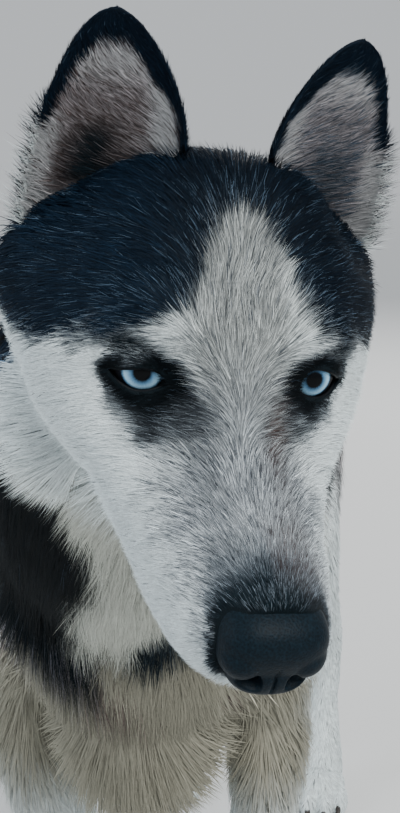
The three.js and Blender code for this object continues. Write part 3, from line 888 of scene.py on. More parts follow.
def paint_head(points):
    """The face from the white cheeks up: bridge, nose, goggles, brows, cap, whisker dots and mouth."""
    x, y, z = np.abs(points[:, 0]), points[:, 1], points[:, 2]
    uneven = mottle(points, 7, 3)
    paint = Paint(len(points), NEAR_WHITE)
    # Between the eyes and up the blaze the white is greyer and mixed with dark hairs
    grey = smooth_step(32, 10, x) * smooth_step(-60, -20, y)
    paint.lay(grey, chance=0.21, light=BLAZE)
    # Bridge of the nose: salt and pepper, fading into the cheeks and darker towards the nose
    bridge = smooth_step(-9, 13, z - np.interp(y, BRIDGE_ALONG, BRIDGE_LEVEL) + 3 * uneven)
    bridge *= smooth_step(-8, -44, y)
    paint.lay(bridge, chance=0.3, light=BRIDGE_LIGHT, dark=BRIDGE_DARK)
    gap = nose_gap(points) + 2.5 * uneven
    reach = np.interp(z, [-46, -34, -22], [3, 6.5, 25])
    near_nose = smooth_step(reach, 0.1 * reach, gap + 0.2 * x * (z > -34)) * (z > -48)
    paint.lay(near_nose, chance=0.78, light=NOSE_LIGHT, dark=BLACK * 2)
    paint.lay(near_nose * smooth_step(3, 1, gap), chance=0.9)
    warm = np.exp(-((x - 9) ** 2 + (y + 70) ** 2) / 140) * (points[:, 0] > 0)
    paint.lay(warm * 0.8, dark=BROWN * 1.6)
    # Dark patches round the eyes, longest below the inner corner
    angle = np.degrees(np.arctan2(z - GOGGLE_Z, x - GOGGLE_X))
    reach = np.where(points[:, 0] > 0, np.interp(angle, GOGGLE_TURN, GOGGLE_LEFT),
                     np.interp(angle, GOGGLE_TURN, GOGGLE_RIGHT))
    beyond = np.hypot(x - GOGGLE_X, z - GOGGLE_Z) - reach
    fringe = 2.4 + 4 * smooth_step(-10, -60, angle)
    patch = smooth_step(fringe, -fringe, beyond + 1.5 * uneven) * (y < 22)
    beside = np.exp(-((x - 13) / 5) ** 2 - ((z + 7) / 10) ** 2) * (y < 0)
    paint.lay(beside, chance=0.6, dark=BRIDGE_DARK)
    paint.lay(beside * (points[:, 0] > 0), dark=BROWN * 1.4)
    paint.lay(patch, chance=0.985, light=SLATE * 0.7, dark=BLACK * 0.5)
    brow = np.exp(-((x - 39) / 11) ** 2 - ((z - 11.5) / 5) ** 2) * (1 - patch)
    paint.lay(brow, chance=0.86, light=BRIDGE_LIGHT * 0.45, dark=BLACK * 2)
    # The cap, with light streaks that thin out up the forehead; its black carries a painted blue sheen
    across = np.abs(points[:, 0] - BLAZE_LEAN * np.exp(-((z - 33) / 9) ** 2))
    above = z - np.interp(across, CAP_ACROSS, CAP_LEVEL) + 2 * uneven
    above += 0.6 * np.maximum(y - CAP_FRONT, 0) * smooth_step(34, 16, x)
    above += 5 * smooth_step(-40, -56, points[:, 0])
    behind = smooth_step(CHEEK_BACK - 8, CHEEK_BACK + 8, y + 4 * uneven) * smooth_step(-72, -50, z)
    cap = np.maximum(smooth_step(-4, 4, above), behind)
    above = np.maximum(above, NAPE_LEVEL * behind)
    streaks = 0.05 + 0.3 * np.exp(-np.maximum(above, 0) / 7)
    # Painted sheen: the cap's black is lighter on the dog's right
    near = smooth_step(-6, -46, points[:, 0])[:, None]
    paint.lay(cap, chance=1 - streaks, dark=CAP_BLACK_AND_SHEEN * (0.65 + 0.75 * near))
    fade = np.exp(-np.maximum(above, 0) / 12)[:, None]
    paint.lay(np.maximum(smooth_step(-2, 9, above), behind), light=SLATE * (1.0 + 1.7 * fade))
    paint.lay(near_spots(points, whisker_roots, WHISKER_DOT, 1.4), chance=1, dark=BRIDGE_DARK * 1.5)
    paint.lay(near_spots(points, mouth_line, LIP, 1.6), chance=0.97, dark=BLACK * 2)
    return paint


def paint_ear(points, across, rise, front):
    """Black behind, greyish inside with paler rims, painted shade in the hollow, a white fringe at its
    side.
    """
    # The ear's black has the cap's painted blue sheen
    paint = Paint(len(points), 0.975, SLATE, CAP_BLACK_AND_SHEEN)
    rough = across + 0.07 * mottle(points, 8, 5)
    outer_edge = np.interp(rise, [0, 0.4, 0.5, 0.7, 0.85], [1.3, 1.2, 0.66, 0.5, 0.2])
    inner_edge = np.interp(rise, [0, 0.5, 0.85], [-0.84, -0.8, -0.3])
    inside = front * smooth_step(0.06, -0.06, rough - outer_edge) * smooth_step(0.86, 0.76, rise)
    inside *= smooth_step(-0.06, 0.06, rough - inner_edge)
    cool = smooth_step(-5, 5, points[:, 0])[:, None]
    paint.lay(inside, chance=0.25, light=EAR_LIGHT, dark=blend(BROWN * 1.4, SLATE * 0.5, cool))
    pale = np.maximum(smooth_step(0.55, 0.78, rise) * 0.8, smooth_step(-0.35, -0.66, across))
    pale = np.maximum(pale, smooth_step(0.4, 0.62, across) * smooth_step(0.55, 0.4, rise))
    paint.lay(inside * pale, chance=0.06, light=EAR_PALE)
    # Painted shade in the ear's hollow, half as strong in the left ear
    hollow = np.exp(-((across - 0.08) / 0.26) ** 2) * smooth_step(0.52, 0.3, rise)
    hollow *= np.where(points[:, 0] > 0, 0.5, 1)
    paint.lay(inside * hollow, chance=0.95, dark=BLACK * 2)
    fringe = smooth_step(0.84, 0.95, across) * smooth_step(0.52, 0.44, rise)
    paint.lay(fringe, chance=0.1, light=WHITE * 0.8)
    return paint


# %% Markings of the body
BACK_ALONG = [-310, -240, -150, 0, 150, 260, 330]
BACK_LEFT = [424, 440, 458, 446, 424, 410, 430]
BACK_RIGHT = [394, 398, 404, 410, 412, 410, 430]
THROAT_ALONG = [0, 0.2, 0.24, 0.28, 0.33, 0.38, 0.46, 0.56, 0.68, 0.8]
THROAT_RIGHT = [4.75, 4.6, 4.1, 3.92, 3.74, 3.62, 3.52, 3.5, 3.52, 3.55]
THROAT_LEFT = [1.6, 1.7, 1.9, 2.0, 2.1, 2.2, 2.94, 2.96, 2.94, 2.92]
# Middle of a black spot at the side of the throat
SPOT = (0.68, 3.05)
BAND_HEIGHT = 384


def paint_neck(points, share, around):
    """Black, with a pale throat strip, a black spot in it and the beige breast below in painted shade."""
    paint = Paint(len(points), 0.99, SLATE * 0.6, BLACK * 0.6)
    uneven = mottle(points, 26, 7)
    turn = np.where(around < 0, around + 2 * math.pi, around)
    right = np.interp(share, THROAT_ALONG, THROAT_RIGHT) - turn
    left = turn - np.interp(share, THROAT_ALONG, THROAT_LEFT)
    throat = smooth_step(-0.09, 0.09, np.minimum(right, left) + 0.05 * uneven)
    # Painted light: near the head the throat turns brighter than the coat's white, against the crease's
    # shade
    cheek = smooth_step(0.3, 0.2, share)[:, None]
    paint.lay(throat, chance=0.03, light=blend(CREAM, WHITE * 1.12, cheek), dark=CREAM * 0.4)
    # The breast below: beige darkened by painted shade
    low = smooth_step(414, 390, points[:, 2] + 14 * uneven)
    paint.lay(low, chance=0.03, light=BREAST_BEIGE_IN_PAINTED_SHADE, dark=BREAST_BEIGE_IN_PAINTED_SHADE * 0.5)
    spot = ((share - SPOT[0]) / 0.09) ** 2 + ((turn - SPOT[1]) / 0.12) ** 2
    paint.lay(smooth_step(1.3, 0.7, spot + 0.3 * uneven), chance=0.95, light=SLATE, dark=BLACK * 2)
    return paint


def paint_body(points):
    """Black above the saddle's border, white below it and beige on the breast, darkened as painted shade.
    """
    paint = Paint(len(points), 0.02, dark=WHITE * 0.3)
    uneven = mottle(points, 34, 9)
    left, right = (np.interp(points[:, 1], BACK_ALONG, level) for level in (BACK_LEFT, BACK_RIGHT))
    level = blend(left, right, smooth_step(2, -14, points[:, 0]))
    high = smooth_step(-12, 12, points[:, 2] - level + 13 * uneven)
    # Painted shade on the breast: its beige is darkened, as under the head
    front = smooth_step(-95, -215, points[:, 1] + 12 * uneven) * smooth_step(240, 320, points[:, 2])
    paint.lay(front, light=BREAST_BEIGE_IN_PAINTED_SHADE, dark=BREAST_BEIGE_IN_PAINTED_SHADE * 0.5)
    # A broken brown band across the breast
    band = np.exp(-((points[:, 2] - BAND_HEIGHT) / 9) ** 2) * front
    band *= smooth_step(0.1, 0.5, mottle(points, 22, 15))
    paint.lay(band, chance=0.4, dark=BROWN * 2.5)
    border = np.exp(-((points[:, 2] - level) / 28) ** 2)
    paint.lay(high, chance=0.98, light=SLATE, dark=BLACK)
    paint.lay(border * high, chance=0.7, light=THIGH_LIGHT)
    return paint


def paint_hind_leg(points):
    """As the body, with painted shade on the thigh: a grey patch mixed with dark hairs."""
    paint = paint_body(points)
    # Painted shade: the outer thigh greyed, with dark hairs mixed in
    outer = smooth_step(340, 410, points[:, 2] + 16 * mottle(points, 30, 11))
    outer *= smooth_step(470, 415, points[:, 2] + 20 * mottle(points, 24, 17))
    paint.lay(outer, chance=0.5, light=THIGH_LIGHT, dark=THIGH_DARK)
    return paint


def paint_tail(points, share, around):
    """Dark on top, white underneath and at its tip."""
    paint = Paint(len(points), 0.03)
    top = smooth_step(0.3, -0.3, np.abs(around) - 1.9 + 0.3 * mottle(points, 30, 13))
    tip = smooth_step(0.86, 0.96, share)
    paint.lay(top * (1 - tip), chance=0.93, light=SLATE * 1.6, dark=BLACK)
    return paint


# %% [markdown]
# ## Reading the skin
# Every spot of the skin belongs to the body part whose tube it lies on. Its share and turn on that tube
# give the lie of the hair there and its place on an unwrap of the skin, as if each part were slit
# underneath and rolled out flat. Blender can unwrap a mesh itself, but 300,000 tufts come quicker by
# rule, and each part stays in one piece.

# %% Parts of the skin
PART_NAMES = ["head", "ear", "neck", "trunk", "foreleg", "hind_leg", "tail"]
HEAD, EAR, NECK_PART, TRUNK_PART, FORELEG, HIND, TAIL_PART = range(7)
# Each part's length and radius
PART_LENGTH = np.array([195, 100, 300, 640, 470, 560, 400])
PART_RADIUS = np.array([50, 30, 90, 110, 30, 35, 45])
# Each part's corner and size on the flat unwrap
UNWRAP = {
    HEAD: (0.00, 0.00, 0.50, 0.45),
    EAR: (0.00, 0.46, 0.50, 0.24),
    NECK_PART: (0.51, 0.00, 0.49, 0.22),
    TRUNK_PART: (0.51, 0.23, 0.49, 0.30),
    FORELEG: (0.00, 0.71, 0.50, 0.28),
    HIND: (0.51, 0.54, 0.49, 0.26),
    TAIL_PART: (0.51, 0.81, 0.49, 0.18),
}
UNWRAP_MARGIN = 0.004
EAR_REACH = 3.8
EAR_BATCH = 2000


def ear_middle(across, rise):
    return (ear_surface(across, rise, True) + ear_surface(across, rise, False)) / 2


ear_grid = np.array([(a, r) for a in np.linspace(-1, 1, 41) for r in np.linspace(0.02, 1, 50)])
ear_spots = ear_middle(*ear_grid.T)
ear_facing = unit(np.cross(ear_middle(ear_grid[:, 0], ear_grid[:, 1] * 0.99) - ear_spots,
                           ear_middle(ear_grid[:, 0] + 0.01, ear_grid[:, 1]) - ear_spots))


def nearest_ear_spot(half):
    """The closest spot of the ear's grid to each point, and its distance."""
    index = np.zeros(len(half), int)
    gap = np.full(len(half), 1e9)
    likely = np.nonzero((half[:, 2] > 8) & (half[:, 1] > 22))[0]
    for start in range(0, len(likely), EAR_BATCH):
        some = likely[start:start + EAR_BATCH]
        distance = ((half[some, None] - ear_spots[None]) ** 2).sum(2)
        index[some] = distance.argmin(1)
        gap[some] = np.sqrt(distance.min(1))
    return index, gap


def ear_fringe(across, rise):
    """How much of the long fringe grows here, on the outer rim of the ear's lower half."""
    return smooth_step(0.6, 0.9, across) * smooth_step(0.6, 0.45, rise)


def by_side(side):
    """A factor for each point that mirrors it where its side is -1."""
    return np.stack([side, np.ones(len(side)), np.ones(len(side))], 1)


EYE_CENTRES = (EYE_CENTRE, EYE_CENTRE * [-1, 1, 1])
# How strongly hair turns away from each eye and from the nose, up to what distance fully, and its fade
EYE_PARTING = (1.3, 11, 4.5)
NOSE_PARTING = (2, 18, 12)
NOSE_PARTING_CENTRE = np.array([0, -96, -36])


class SkinReading:
    """What part each point of the skin is on, its share and turn there, the lie of hair and the paint."""

    def __init__(self, points, normals):
        self.points, self.normals = points, normals
        count = len(points)
        self.in_head = dog_to_head(points)
        self.side = np.where(points[:, 0] < 0, -1.0, 1.0)
        on_left = points * by_side(self.side)
        tubes = [(HEAD, SKULL, self.in_head, 4), (HEAD, JAW, self.in_head, JAW_DEPTH),
                 (NECK_PART, NECK, points, RUFF_DEPTH), (TRUNK_PART, TRUNK, points, TRUNK_DEPTH),
                 (FORELEG, FORE_LEG, on_left, leg_depth), (HIND, HIND_LEG, on_left, leg_depth),
                 (TAIL_PART, TAIL, points, TAIL_DEPTH)]
        beyond, shares, turns, lies = [], [], [], []
        for part, tube, place, depth in tubes:
            share, around, out, along = tube.nearest(place)
            beyond.append(out + (depth(share) if callable(depth) else depth))
            shares.append(share)
            turns.append(around)
            lies.append(self.lie_on(part, share, around, along))
        beyond = np.array(beyond)
        owner = beyond.argmin(0)
        self.part = np.array([entry[0] for entry in tubes])[owner]
        self.share = np.array(shares)[owner, np.arange(count)]
        self.around = np.array(turns)[owner, np.arange(count)]
        weight = np.exp(-np.maximum(beyond - beyond.min(0), 0) / 16)
        lie = (np.array(lies) * weight[:, :, None]).sum(0)
        self.half = half_of(self.in_head)
        self.ear_index, ear_gap = nearest_ear_spot(self.half)
        on_ear = (ear_gap < EAR_REACH) & (self.part == HEAD) & (ear_grid[self.ear_index, 1] > 0.06)
        self.part[on_ear] = EAR
        self.ear_across, self.ear_rise = ear_grid[self.ear_index].T
        flipped = by_side(np.sign(self.in_head[:, 0]))
        facing = ((normals @ HEAD_TURN) * flipped * ear_facing[self.ear_index]).sum(1)
        self.ear_front = (facing > 0).astype(float)
        lie[on_ear] = self.ear_lie()[on_ear]
        self.lie = unit(lie - normals * (lie * normals).sum(1)[:, None])

    def lie_on(self, part, share, around, along):
        """The lie of the hair if the points were on that part: along it, and down its sides."""
        if part == HEAD:
            return self.head_lie()
        down = np.array([0, 0, -1.0])
        if part == NECK_PART:
            return unit(along + 0.35 * down * np.abs(np.sin(around))[:, None])
        if part == TRUNK_PART:
            breast = smooth_step(0.8, 0.96, share)[:, None]
            return unit(along * (0.8 * breast - 1) + 0.4 * down * np.abs(np.sin(around))[:, None]
                        + breast * (2.2 * down))
        if part == TAIL_PART:
            return along
        return unit(along * by_side(self.side) + np.array([0, 0.28, 0]))

    def head_lie(self):
        """Back from the nose, spreading outwards over the cheeks and away from the eyes."""
        place, normal = self.in_head, self.normals @ HEAD_TURN
        side = np.sign(place[:, 0])
        spread = np.clip(np.abs(place[:, 0]) / 26, 0, 1.15)
        fall = np.abs(normal[:, 0]) * smooth_step(40, 5, place[:, 2])
        lie = np.stack([side * spread * 0.9, np.ones(len(place)), -0.85 * fall], 1)
        partings = [(centre, *EYE_PARTING) for centre in EYE_CENTRES]
        for centre, strength, reach, fade in (*partings, (NOSE_PARTING_CENTRE, *NOSE_PARTING)):
            away = place - centre
            distance = np.linalg.norm(away, axis=1)
            lie += unit(away) * (strength * np.exp(-np.maximum(distance - reach, 0) / fade))[:, None]
        return unit(lie) @ HEAD_TURN.T

    def ear_lie(self):
        """Up the ear, and outwards in its hollow and its fringe."""
        step = 0.03
        front = self.ear_front > 0.5
        rise = np.clip(self.ear_rise, 0, 0.96)
        low = ear_surface(self.ear_across, rise, front)
        # Inside, the hair sweeps outwards; on the back and the rims it runs up to the tip
        sweep = 0.07 * front * smooth_step(1, 0.7, np.abs(self.ear_across))
        high = ear_surface(self.ear_across * 1.03 + sweep, rise + step, front)
        outward = ear_fringe(self.ear_across, self.ear_rise)[:, None] * [1.6, 0.3, 0]
        lie = unit(unit(high - low) + outward)
        lie[:, 0] *= np.sign(self.in_head[:, 0])
        return lie @ HEAD_TURN.T

    def unwrapped(self):
        """Each point's place on the flat unwrap."""
        flat = np.zeros((len(self.points), 2))
        u = (self.around / (2 * math.pi) + 0.5) % 1
        v = self.share
        for part, (left, low, wide, high) in UNWRAP.items():
            here = self.part == part
            across, along = u[here], v[here]
            if part in (FORELEG, HIND):
                across = across / 2 + np.where(self.side[here] > 0, 0.5, 0)
            if part == EAR:
                sheet = (self.ear_front[here] > 0.5) + 2 * (self.in_head[here, 0] > 0)
                across = ((self.ear_across[here] + 1) / 2 + sheet) / 4
                along = self.ear_rise[here]
            flat[here, 0] = left + across * (wide - UNWRAP_MARGIN)
            flat[here, 1] = low + along * (high - UNWRAP_MARGIN)
        return flat

    def paint(self, ahead=0):
        """The markings; hairs take them some millimetres ahead of the root, where they are seen."""
        paint = Paint(len(self.points))
        ahead = np.broadcast_to(ahead, len(self.points))
        points = self.points + self.lie * ahead[:, None]
        in_head = dog_to_head(points)
        share = self.share + ahead / PART_LENGTH[self.part]
        makers = {
            HEAD: lambda here: paint_head(in_head[here]),
            EAR: lambda here: paint_ear(in_head[here], self.ear_across[here],
                                        self.ear_rise[here], self.ear_front[here]),
            NECK_PART: lambda here: paint_neck(points[here], share[here], self.around[here]),
            TRUNK_PART: lambda here: paint_body(points[here]),
            FORELEG: lambda here: paint_body(points[here]),
            HIND: lambda here: paint_hind_leg(points[here]),
            TAIL_PART: lambda here: paint_tail(points[here], share[here], self.around[here]),
        }
        for part, maker in makers.items():
            here = self.part == part
            if here.any():
                made = maker(here)
                paint.chance[here], paint.light[here], paint.dark[here] = made.chance, made.light, made.dark
        return paint


# %% Skin arrays
skin_mesh.verts.ensure_lookup_table()
skin_points = corner_array(skin_mesh)
skin_mesh.normal_update()
skin_normals = np.array([corner.normal for corner in skin_mesh.verts])
skin_faces = np.array([[corner.index for corner in face.verts] for face in skin_mesh.faces])
skin_reading = SkinReading(skin_points, skin_normals)
print("corners on each part", dict(zip(PART_NAMES, np.bincount(skin_reading.part, minlength=7))))

# %% [markdown]
# The skin itself carries the same markings, a little darker than the hair: painted shade of the coat's
# depth.
# A fine noise stretched along the lie reads as the roots of short hair between the tufts. Each corner
# stores its own tone, which is fine enough here and needs no painted image.

# %% Skin piece


def coloured_mesh(data, colours):
    """Gives each corner its tone of coat."""
    layer = data.color_attributes.new("coat_tone", "FLOAT_COLOR", "POINT")
    rows = np.ones((len(colours), 4), np.float32)
    rows[:, :3] = colours
    layer.data.foreach_set("color", rows.ravel())


def coat_material(name, depth):
    """Hair and skin share one finish; a depth adds short flat hairs as bump, along the lie."""
    material, nodes, links, shader = new_material(name)
    tone = nodes.new("ShaderNodeVertexColor")
    tone.layer_name = "coat_tone"
    strands = nodes.new("ShaderNodeTexNoise")
    if depth:
        place = nodes.new("ShaderNodeAttribute")
        place.attribute_name = "along_coat"
    else:
        place = nodes.new("ShaderNodeTexCoord")
    links.new(place.outputs["Vector" if depth else "Object"], strands.inputs["Vector"])
    set_inputs(strands, Detail=2, Scale=1 if depth else 900)
    vary = nodes.new("ShaderNodeMapRange")
    contrast = 0.5 if depth else 0.2
    set_inputs(vary, To_Min=1 - contrast, To_Max=1 + contrast)
    mix = nodes.new("ShaderNodeMix")
    mix.data_type = "RGBA"
    mix.blend_type = "MULTIPLY"
    set_inputs(mix, Factor=1)
    links.new(strands.outputs["Fac"], vary.inputs["Value"])
    links.new(tone.outputs["Color"], mix.inputs["A"])
    links.new(vary.outputs["Result"], mix.inputs["B"])
    links.new(mix.outputs["Result"], shader.inputs["Base Color"])
    set_inputs(shader, Roughness=0.6, Sheen_Weight=0.004, Sheen_Roughness=0.4, Specular_IOR_Level=0.05)
    if depth:
        bump = nodes.new("ShaderNodeBump")
        set_inputs(bump, Strength=0.6, Distance=depth)
        links.new(strands.outputs["Fac"], bump.inputs["Height"])
        links.new(bump.outputs["Normal"], shader.inputs["Normal"])
    return material


HAIRS_EACH_MM = 1.7
HAIR_STRETCH = 7
HAIR_RELIEF = 0.0007


def along_coat(reading):
    """A place across and along the coat, in hair widths."""
    on_ear = reading.part == EAR
    across = np.where(on_ear, reading.ear_across, reading.around) * PART_RADIUS[reading.part]
    along = np.where(on_ear, reading.ear_rise, reading.share) * PART_LENGTH[reading.part]
    return np.stack([across, along / HAIR_STRETCH, reading.side * 40], 1) * HAIRS_EACH_MM


WHITE_SKIN_SHADE, MIXED_SKIN_SHADE = 0.82, 0.5
# How far the bare black skin reaches from the lids, the nose and the floor
DARK_RIM, DARK_NOSE, PAD_TOP = 2.5, 3, 3
skin_paint = skin_reading.paint()
skin_tone = blend(skin_paint.light, skin_paint.dark, skin_paint.chance[:, None])
# Painted shade: the skin is darker than the hair, most where dark and light hairs mix
mixed = smooth_step(0.03, 0.25, skin_paint.chance)[:, None]
skin_tone *= blend(WHITE_SKIN_SHADE, MIXED_SKIN_SHADE, mixed)
for centre in EYE_CENTRES:
    distance = np.linalg.norm(skin_reading.in_head - centre, axis=1)
    skin_tone[distance < EYEBALL_RADIUS + LID + DARK_RIM] = BLACK
skin_tone[nose_gap(skin_reading.in_head) < DARK_NOSE] = BLACK
skin_tone[skin_points[:, 2] < PAD_TOP] = BLACK * 4
skin_place = carried(skin_mesh, dog_to_frame)
skin = object_from("skin", skin_place, coat_material("short_hair_over_skin", HAIR_RELIEF))
coloured_mesh(skin.data, skin_tone)
lie_layer = skin.data.attributes.new("along_coat", "FLOAT_VECTOR", "POINT")
lie_layer.data.foreach_set("vector", along_coat(skin_reading).astype(np.float32).ravel())
FLESH = [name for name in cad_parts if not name.startswith("eye_") and name != "nose"]
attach(skin, "root")
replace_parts(skin, *FLESH)
print("skin stands for", len(FLESH), "nodes")

# %% [markdown]
# ## The coat
# A tuft is a thin three-sided blade that starts under the skin, leans over the surface along the lie
# and ends in a point. Roots are drawn over the skin with a chance that follows the area and how fine
# the hair is there: short and close on the face and the feet, long and loose on the neck and the tail.
# Blender's own hair curves are easier to comb, but they stay behind when a model leaves Blender. Tufts
# are plain faces that go along.

# %% How long, wide and raised the hair is
FACE_ALONG = [-95, -80, -55, -30, 0, 25, 50, 75, 100]
FACE_LENGTH = [3.8, 4.8, 6.4, 7.6, 8.6, 10, 12.5, 19, 28]


class CoatPlan:
    """Length, width, lift and cover of the hair at each point of a skin reading."""

    def __init__(self, reading):
        count = len(reading.points)
        self.length = np.full(count, 10.0)
        self.width = np.full(count, 1.0)
        self.lift = np.full(count, 14.0)
        self.sag = np.full(count, 0.1)
        self.cover = np.full(count, 3.0)
        part, share, around = reading.part, reading.share, reading.around
        self.set_head(reading, part == HEAD)
        self.set_ear(reading, part == EAR)
        front = smooth_step(0.55, 1, np.abs(around) / math.pi)
        neck = np.interp(share, [0, 0.1, 0.25, 0.45, 0.8, 1], [14, 18, 26, 36, 48, 48])
        self.fill(part == NECK_PART, neck * (1 - 0.12 * front), 0.62 - 0.16 * front, 10, 0.16, 6.5)
        breast = smooth_step(0.76, 0.9, share)
        self.fill(part == TRUNK_PART, 36 + 2 * breast, 2.0 - 1.56 * breast, 12 - 5 * breast,
                  0.1 + 0.06 * breast, 3.4 + 2 * breast)
        leg = np.interp(share, [0, 0.25, 0.45, 0.7, 0.9, 1], [36, 27, 16, 11, 8, 6])
        thin = np.interp(share, [0, 0.3, 0.5, 1], [1.1, 1.1, 1.4, 1.2])
        self.fill(part == FORELEG, leg, thin, 11, 0.05, 2)
        behind = smooth_step(0.6, 0.9, np.abs(around) / math.pi) * smooth_step(0.5, 0.3, share)
        self.fill(part == HIND, leg * (1 + 0.6 * behind), thin * 1.2, 12 + 14 * behind, 0.12, 2)
        tail = np.interp(share, [0, 0.2, 0.9, 1], [40, 60, 58, 46])
        self.fill(part == TAIL_PART, tail, 3.0, 27, 0.1, 5.5)

    def fill(self, here, length, width, lift, sag, cover):
        for name, value in (("length", length), ("width", width), ("lift", lift),
                            ("sag", sag), ("cover", cover)):
            getattr(self, name)[here] = np.broadcast_to(value, here.shape)[here]

    def set_head(self, reading, here):
        half = reading.half
        length = np.interp(half[:, 1], FACE_ALONG, FACE_LENGTH)
        cheek = smooth_step(15, 60, half[:, 1]) * smooth_step(0, -40, half[:, 2])
        length = length * (1 + 0.25 * cheek)
        near_eye = np.linalg.norm(half - EYE_CENTRE, axis=1)
        length = length * (0.42 + 0.58 * smooth_step(13, 27, near_eye))
        back = smooth_step(0, 16, half[:, 1])
        width = 0.12 + 0.0195 * length
        lift = 11 + 5 * smooth_step(10, 80, half[:, 1]) + 10 * smooth_step(-84, -92, half[:, 1])
        self.fill(here, length, width, lift, 0.05, 2.2 + 0.3 * back)

    def set_ear(self, reading, here):
        rim = smooth_step(0.75, 1, np.abs(reading.ear_across))
        inside = (reading.ear_front > 0.5) * (1 - rim)
        root = smooth_step(0.5, 0.05, reading.ear_rise)
        tip = smooth_step(0.8, 1, reading.ear_rise)
        fringe = ear_fringe(reading.ear_across, reading.ear_rise)
        length = (4.2 + 0.8 * rim + 7 * fringe + inside * (1.2 + 5 * root)) * (1 - 0.7 * tip)
        width = 0.16 + 0.026 * length - 0.15 * fringe
        self.fill(here, length, width, 10 + 12 * inside + 40 * fringe * rim, 0.02, 2.3)

    def density(self):
        """Tufts for each square millimetre."""
        return self.cover / (0.5 * self.length * self.width)


skin_plan = CoatPlan(skin_reading)

# %% Roots over the skin
DRAWS = np.random.default_rng(11)
corners = skin_points[skin_faces]
face_area = 0.5 * np.linalg.norm(
    np.cross(corners[:, 1] - corners[:, 0], corners[:, 2] - corners[:, 0]), axis=1)
face_density = skin_plan.density()[skin_faces].mean(1)
face_part = skin_reading.part[skin_faces[:, 0]]
expected = np.bincount(face_part, weights=face_area * face_density, minlength=7)
part_area = np.bincount(face_part, weights=face_area, minlength=7)
for name, area, tufts in zip(PART_NAMES, part_area, expected):
    print(f"{name}: {area / 100:.0f} square centimetres, {tufts:.0f} tufts")

# %% Nose, as a form to keep the hair clear of
PAD_CENTRE = (0, -93, -33.6)
PAD_HALF = (NOSE_WIDTH / 2 - 0.3, 12.2, 12.4)
PAD_SQUARE = 2.5
WING_CENTRE, WING_HALF = (8.8, -95.6, -36.6), (8.2, 9.3, 7.8)
FOOT_CENTRE, FOOT_HALF = (0, -94.4, -42.4), (13.4, 10.4, 8.0)
GROOVE_CENTRE, GROOVE_HALF = (0, -108.2, -43), (0.8, 5.5, 11)
NOSE_VOXEL = 0.5


def nose_form():
    """The pad, a wing round each nostril and the foot that runs to the lip."""
    pad = egg(PAD_CENTRE, PAD_HALF, (12, 0, 0), 64, 48, PAD_SQUARE)
    wings = both_sides(egg(WING_CENTRE, WING_HALF, (0, 0, 10), 48, 32))
    foot = egg(FOOT_CENTRE, FOOT_HALF, (8, 0, 0), 48, 32, PAD_SQUARE)
    return remeshed([pad, *wings, foot], NOSE_VOXEL, 8)


NOSTRIL_BEND = [(17.8, -94, -36.8), (16, -98.4, -41.2), (11.2, -103.2, -43.8), (5.9, -106, -42.8),
                (4.6, -99, -40.6)]
NOSTRIL_RADIUS = [0.4, 0.9, 1.3, 3.7, 2.8]


def nostril_shape(u, v):
    """A comma-shaped hole: a slit at the side that opens into a round mouth."""
    middle = through(np.array(NOSTRIL_BEND), v)
    radius = through(np.array(NOSTRIL_RADIUS), v)[:, None]
    across = np.cos(u * 2 * math.pi)[:, None] * radius * [0.3, 1.8, 0.2]
    height = np.sin(u * 2 * math.pi)[:, None] * radius * [0.25, 0.1, 0.9]
    return middle + across + height


def nose_with_nostrils():
    whole = nose_form()
    for nostril in both_sides(bent_grid(28, 24, nostril_shape)):
        bmesh.ops.recalc_face_normals(nostril, faces=nostril.faces)
        whole = combined(whole, nostril, "DIFFERENCE")
    whole = combined(whole, egg(GROOVE_CENTRE, GROOVE_HALF, sides=20, rings=16), "DIFFERENCE")
    return remeshed([whole], NOSE_VOXEL, 3)


nose_mesh = carried(nose_with_nostrils(), head_to_dog)
nose_shell = BVHTree.FromBMesh(nose_mesh)
print("nose", len(nose_mesh.faces), "faces")

# %% [markdown]
# Roots are drawn along the running total of the expected number of tufts, so they spread evenly. A root
# inside the nose, on a lid's rim or under the sole is dropped. Free random places would leave holes and
# clumps that show as bald spots.

# %% Drawing the roots


def draw_roots(faces_here):
    """Evenly spread roots over some faces: their places and smooth normals."""
    wanted = face_area[faces_here] * face_density[faces_here]
    total = np.cumsum(wanted)
    count = int(total[-1])
    marks = (np.arange(count) + DRAWS.random(count)) * total[-1] / count
    chosen = faces_here[np.searchsorted(total, marks)]
    first, second = DRAWS.random((2, count))
    flip = first + second > 1
    first[flip], second[flip] = 1 - first[flip], 1 - second[flip]
    blend = np.stack([1 - first - second, first, second], 1)
    ring = skin_faces[chosen]
    places = (skin_points[ring] * blend[:, :, None]).sum(1)
    normals = unit((skin_normals[ring] * blend[:, :, None]).sum(1))
    return places, normals


NOSE_CLEAR = 0.15
NOSE_NEAR = 34
RIM_CLEAR = 0.8
SOLE_CLEAR = 2.5
# How far the middle of the eye opening lies under the ball's axis
OPENING_DROP = 2


def clear_of_nose(points):
    """True where a root is outside the nose, by a little."""
    free = np.ones(len(points), bool)
    close = np.linalg.norm(dog_to_head(points) - np.array(PAD_CENTRE), axis=1) < NOSE_NEAR
    for index in np.nonzero(close)[0]:
        spot, normal, _, distance = nose_shell.find_nearest(points[index])
        outside = (Vector(points[index]) - spot).dot(normal) > 0
        free[index] = outside and distance > NOSE_CLEAR
    return free


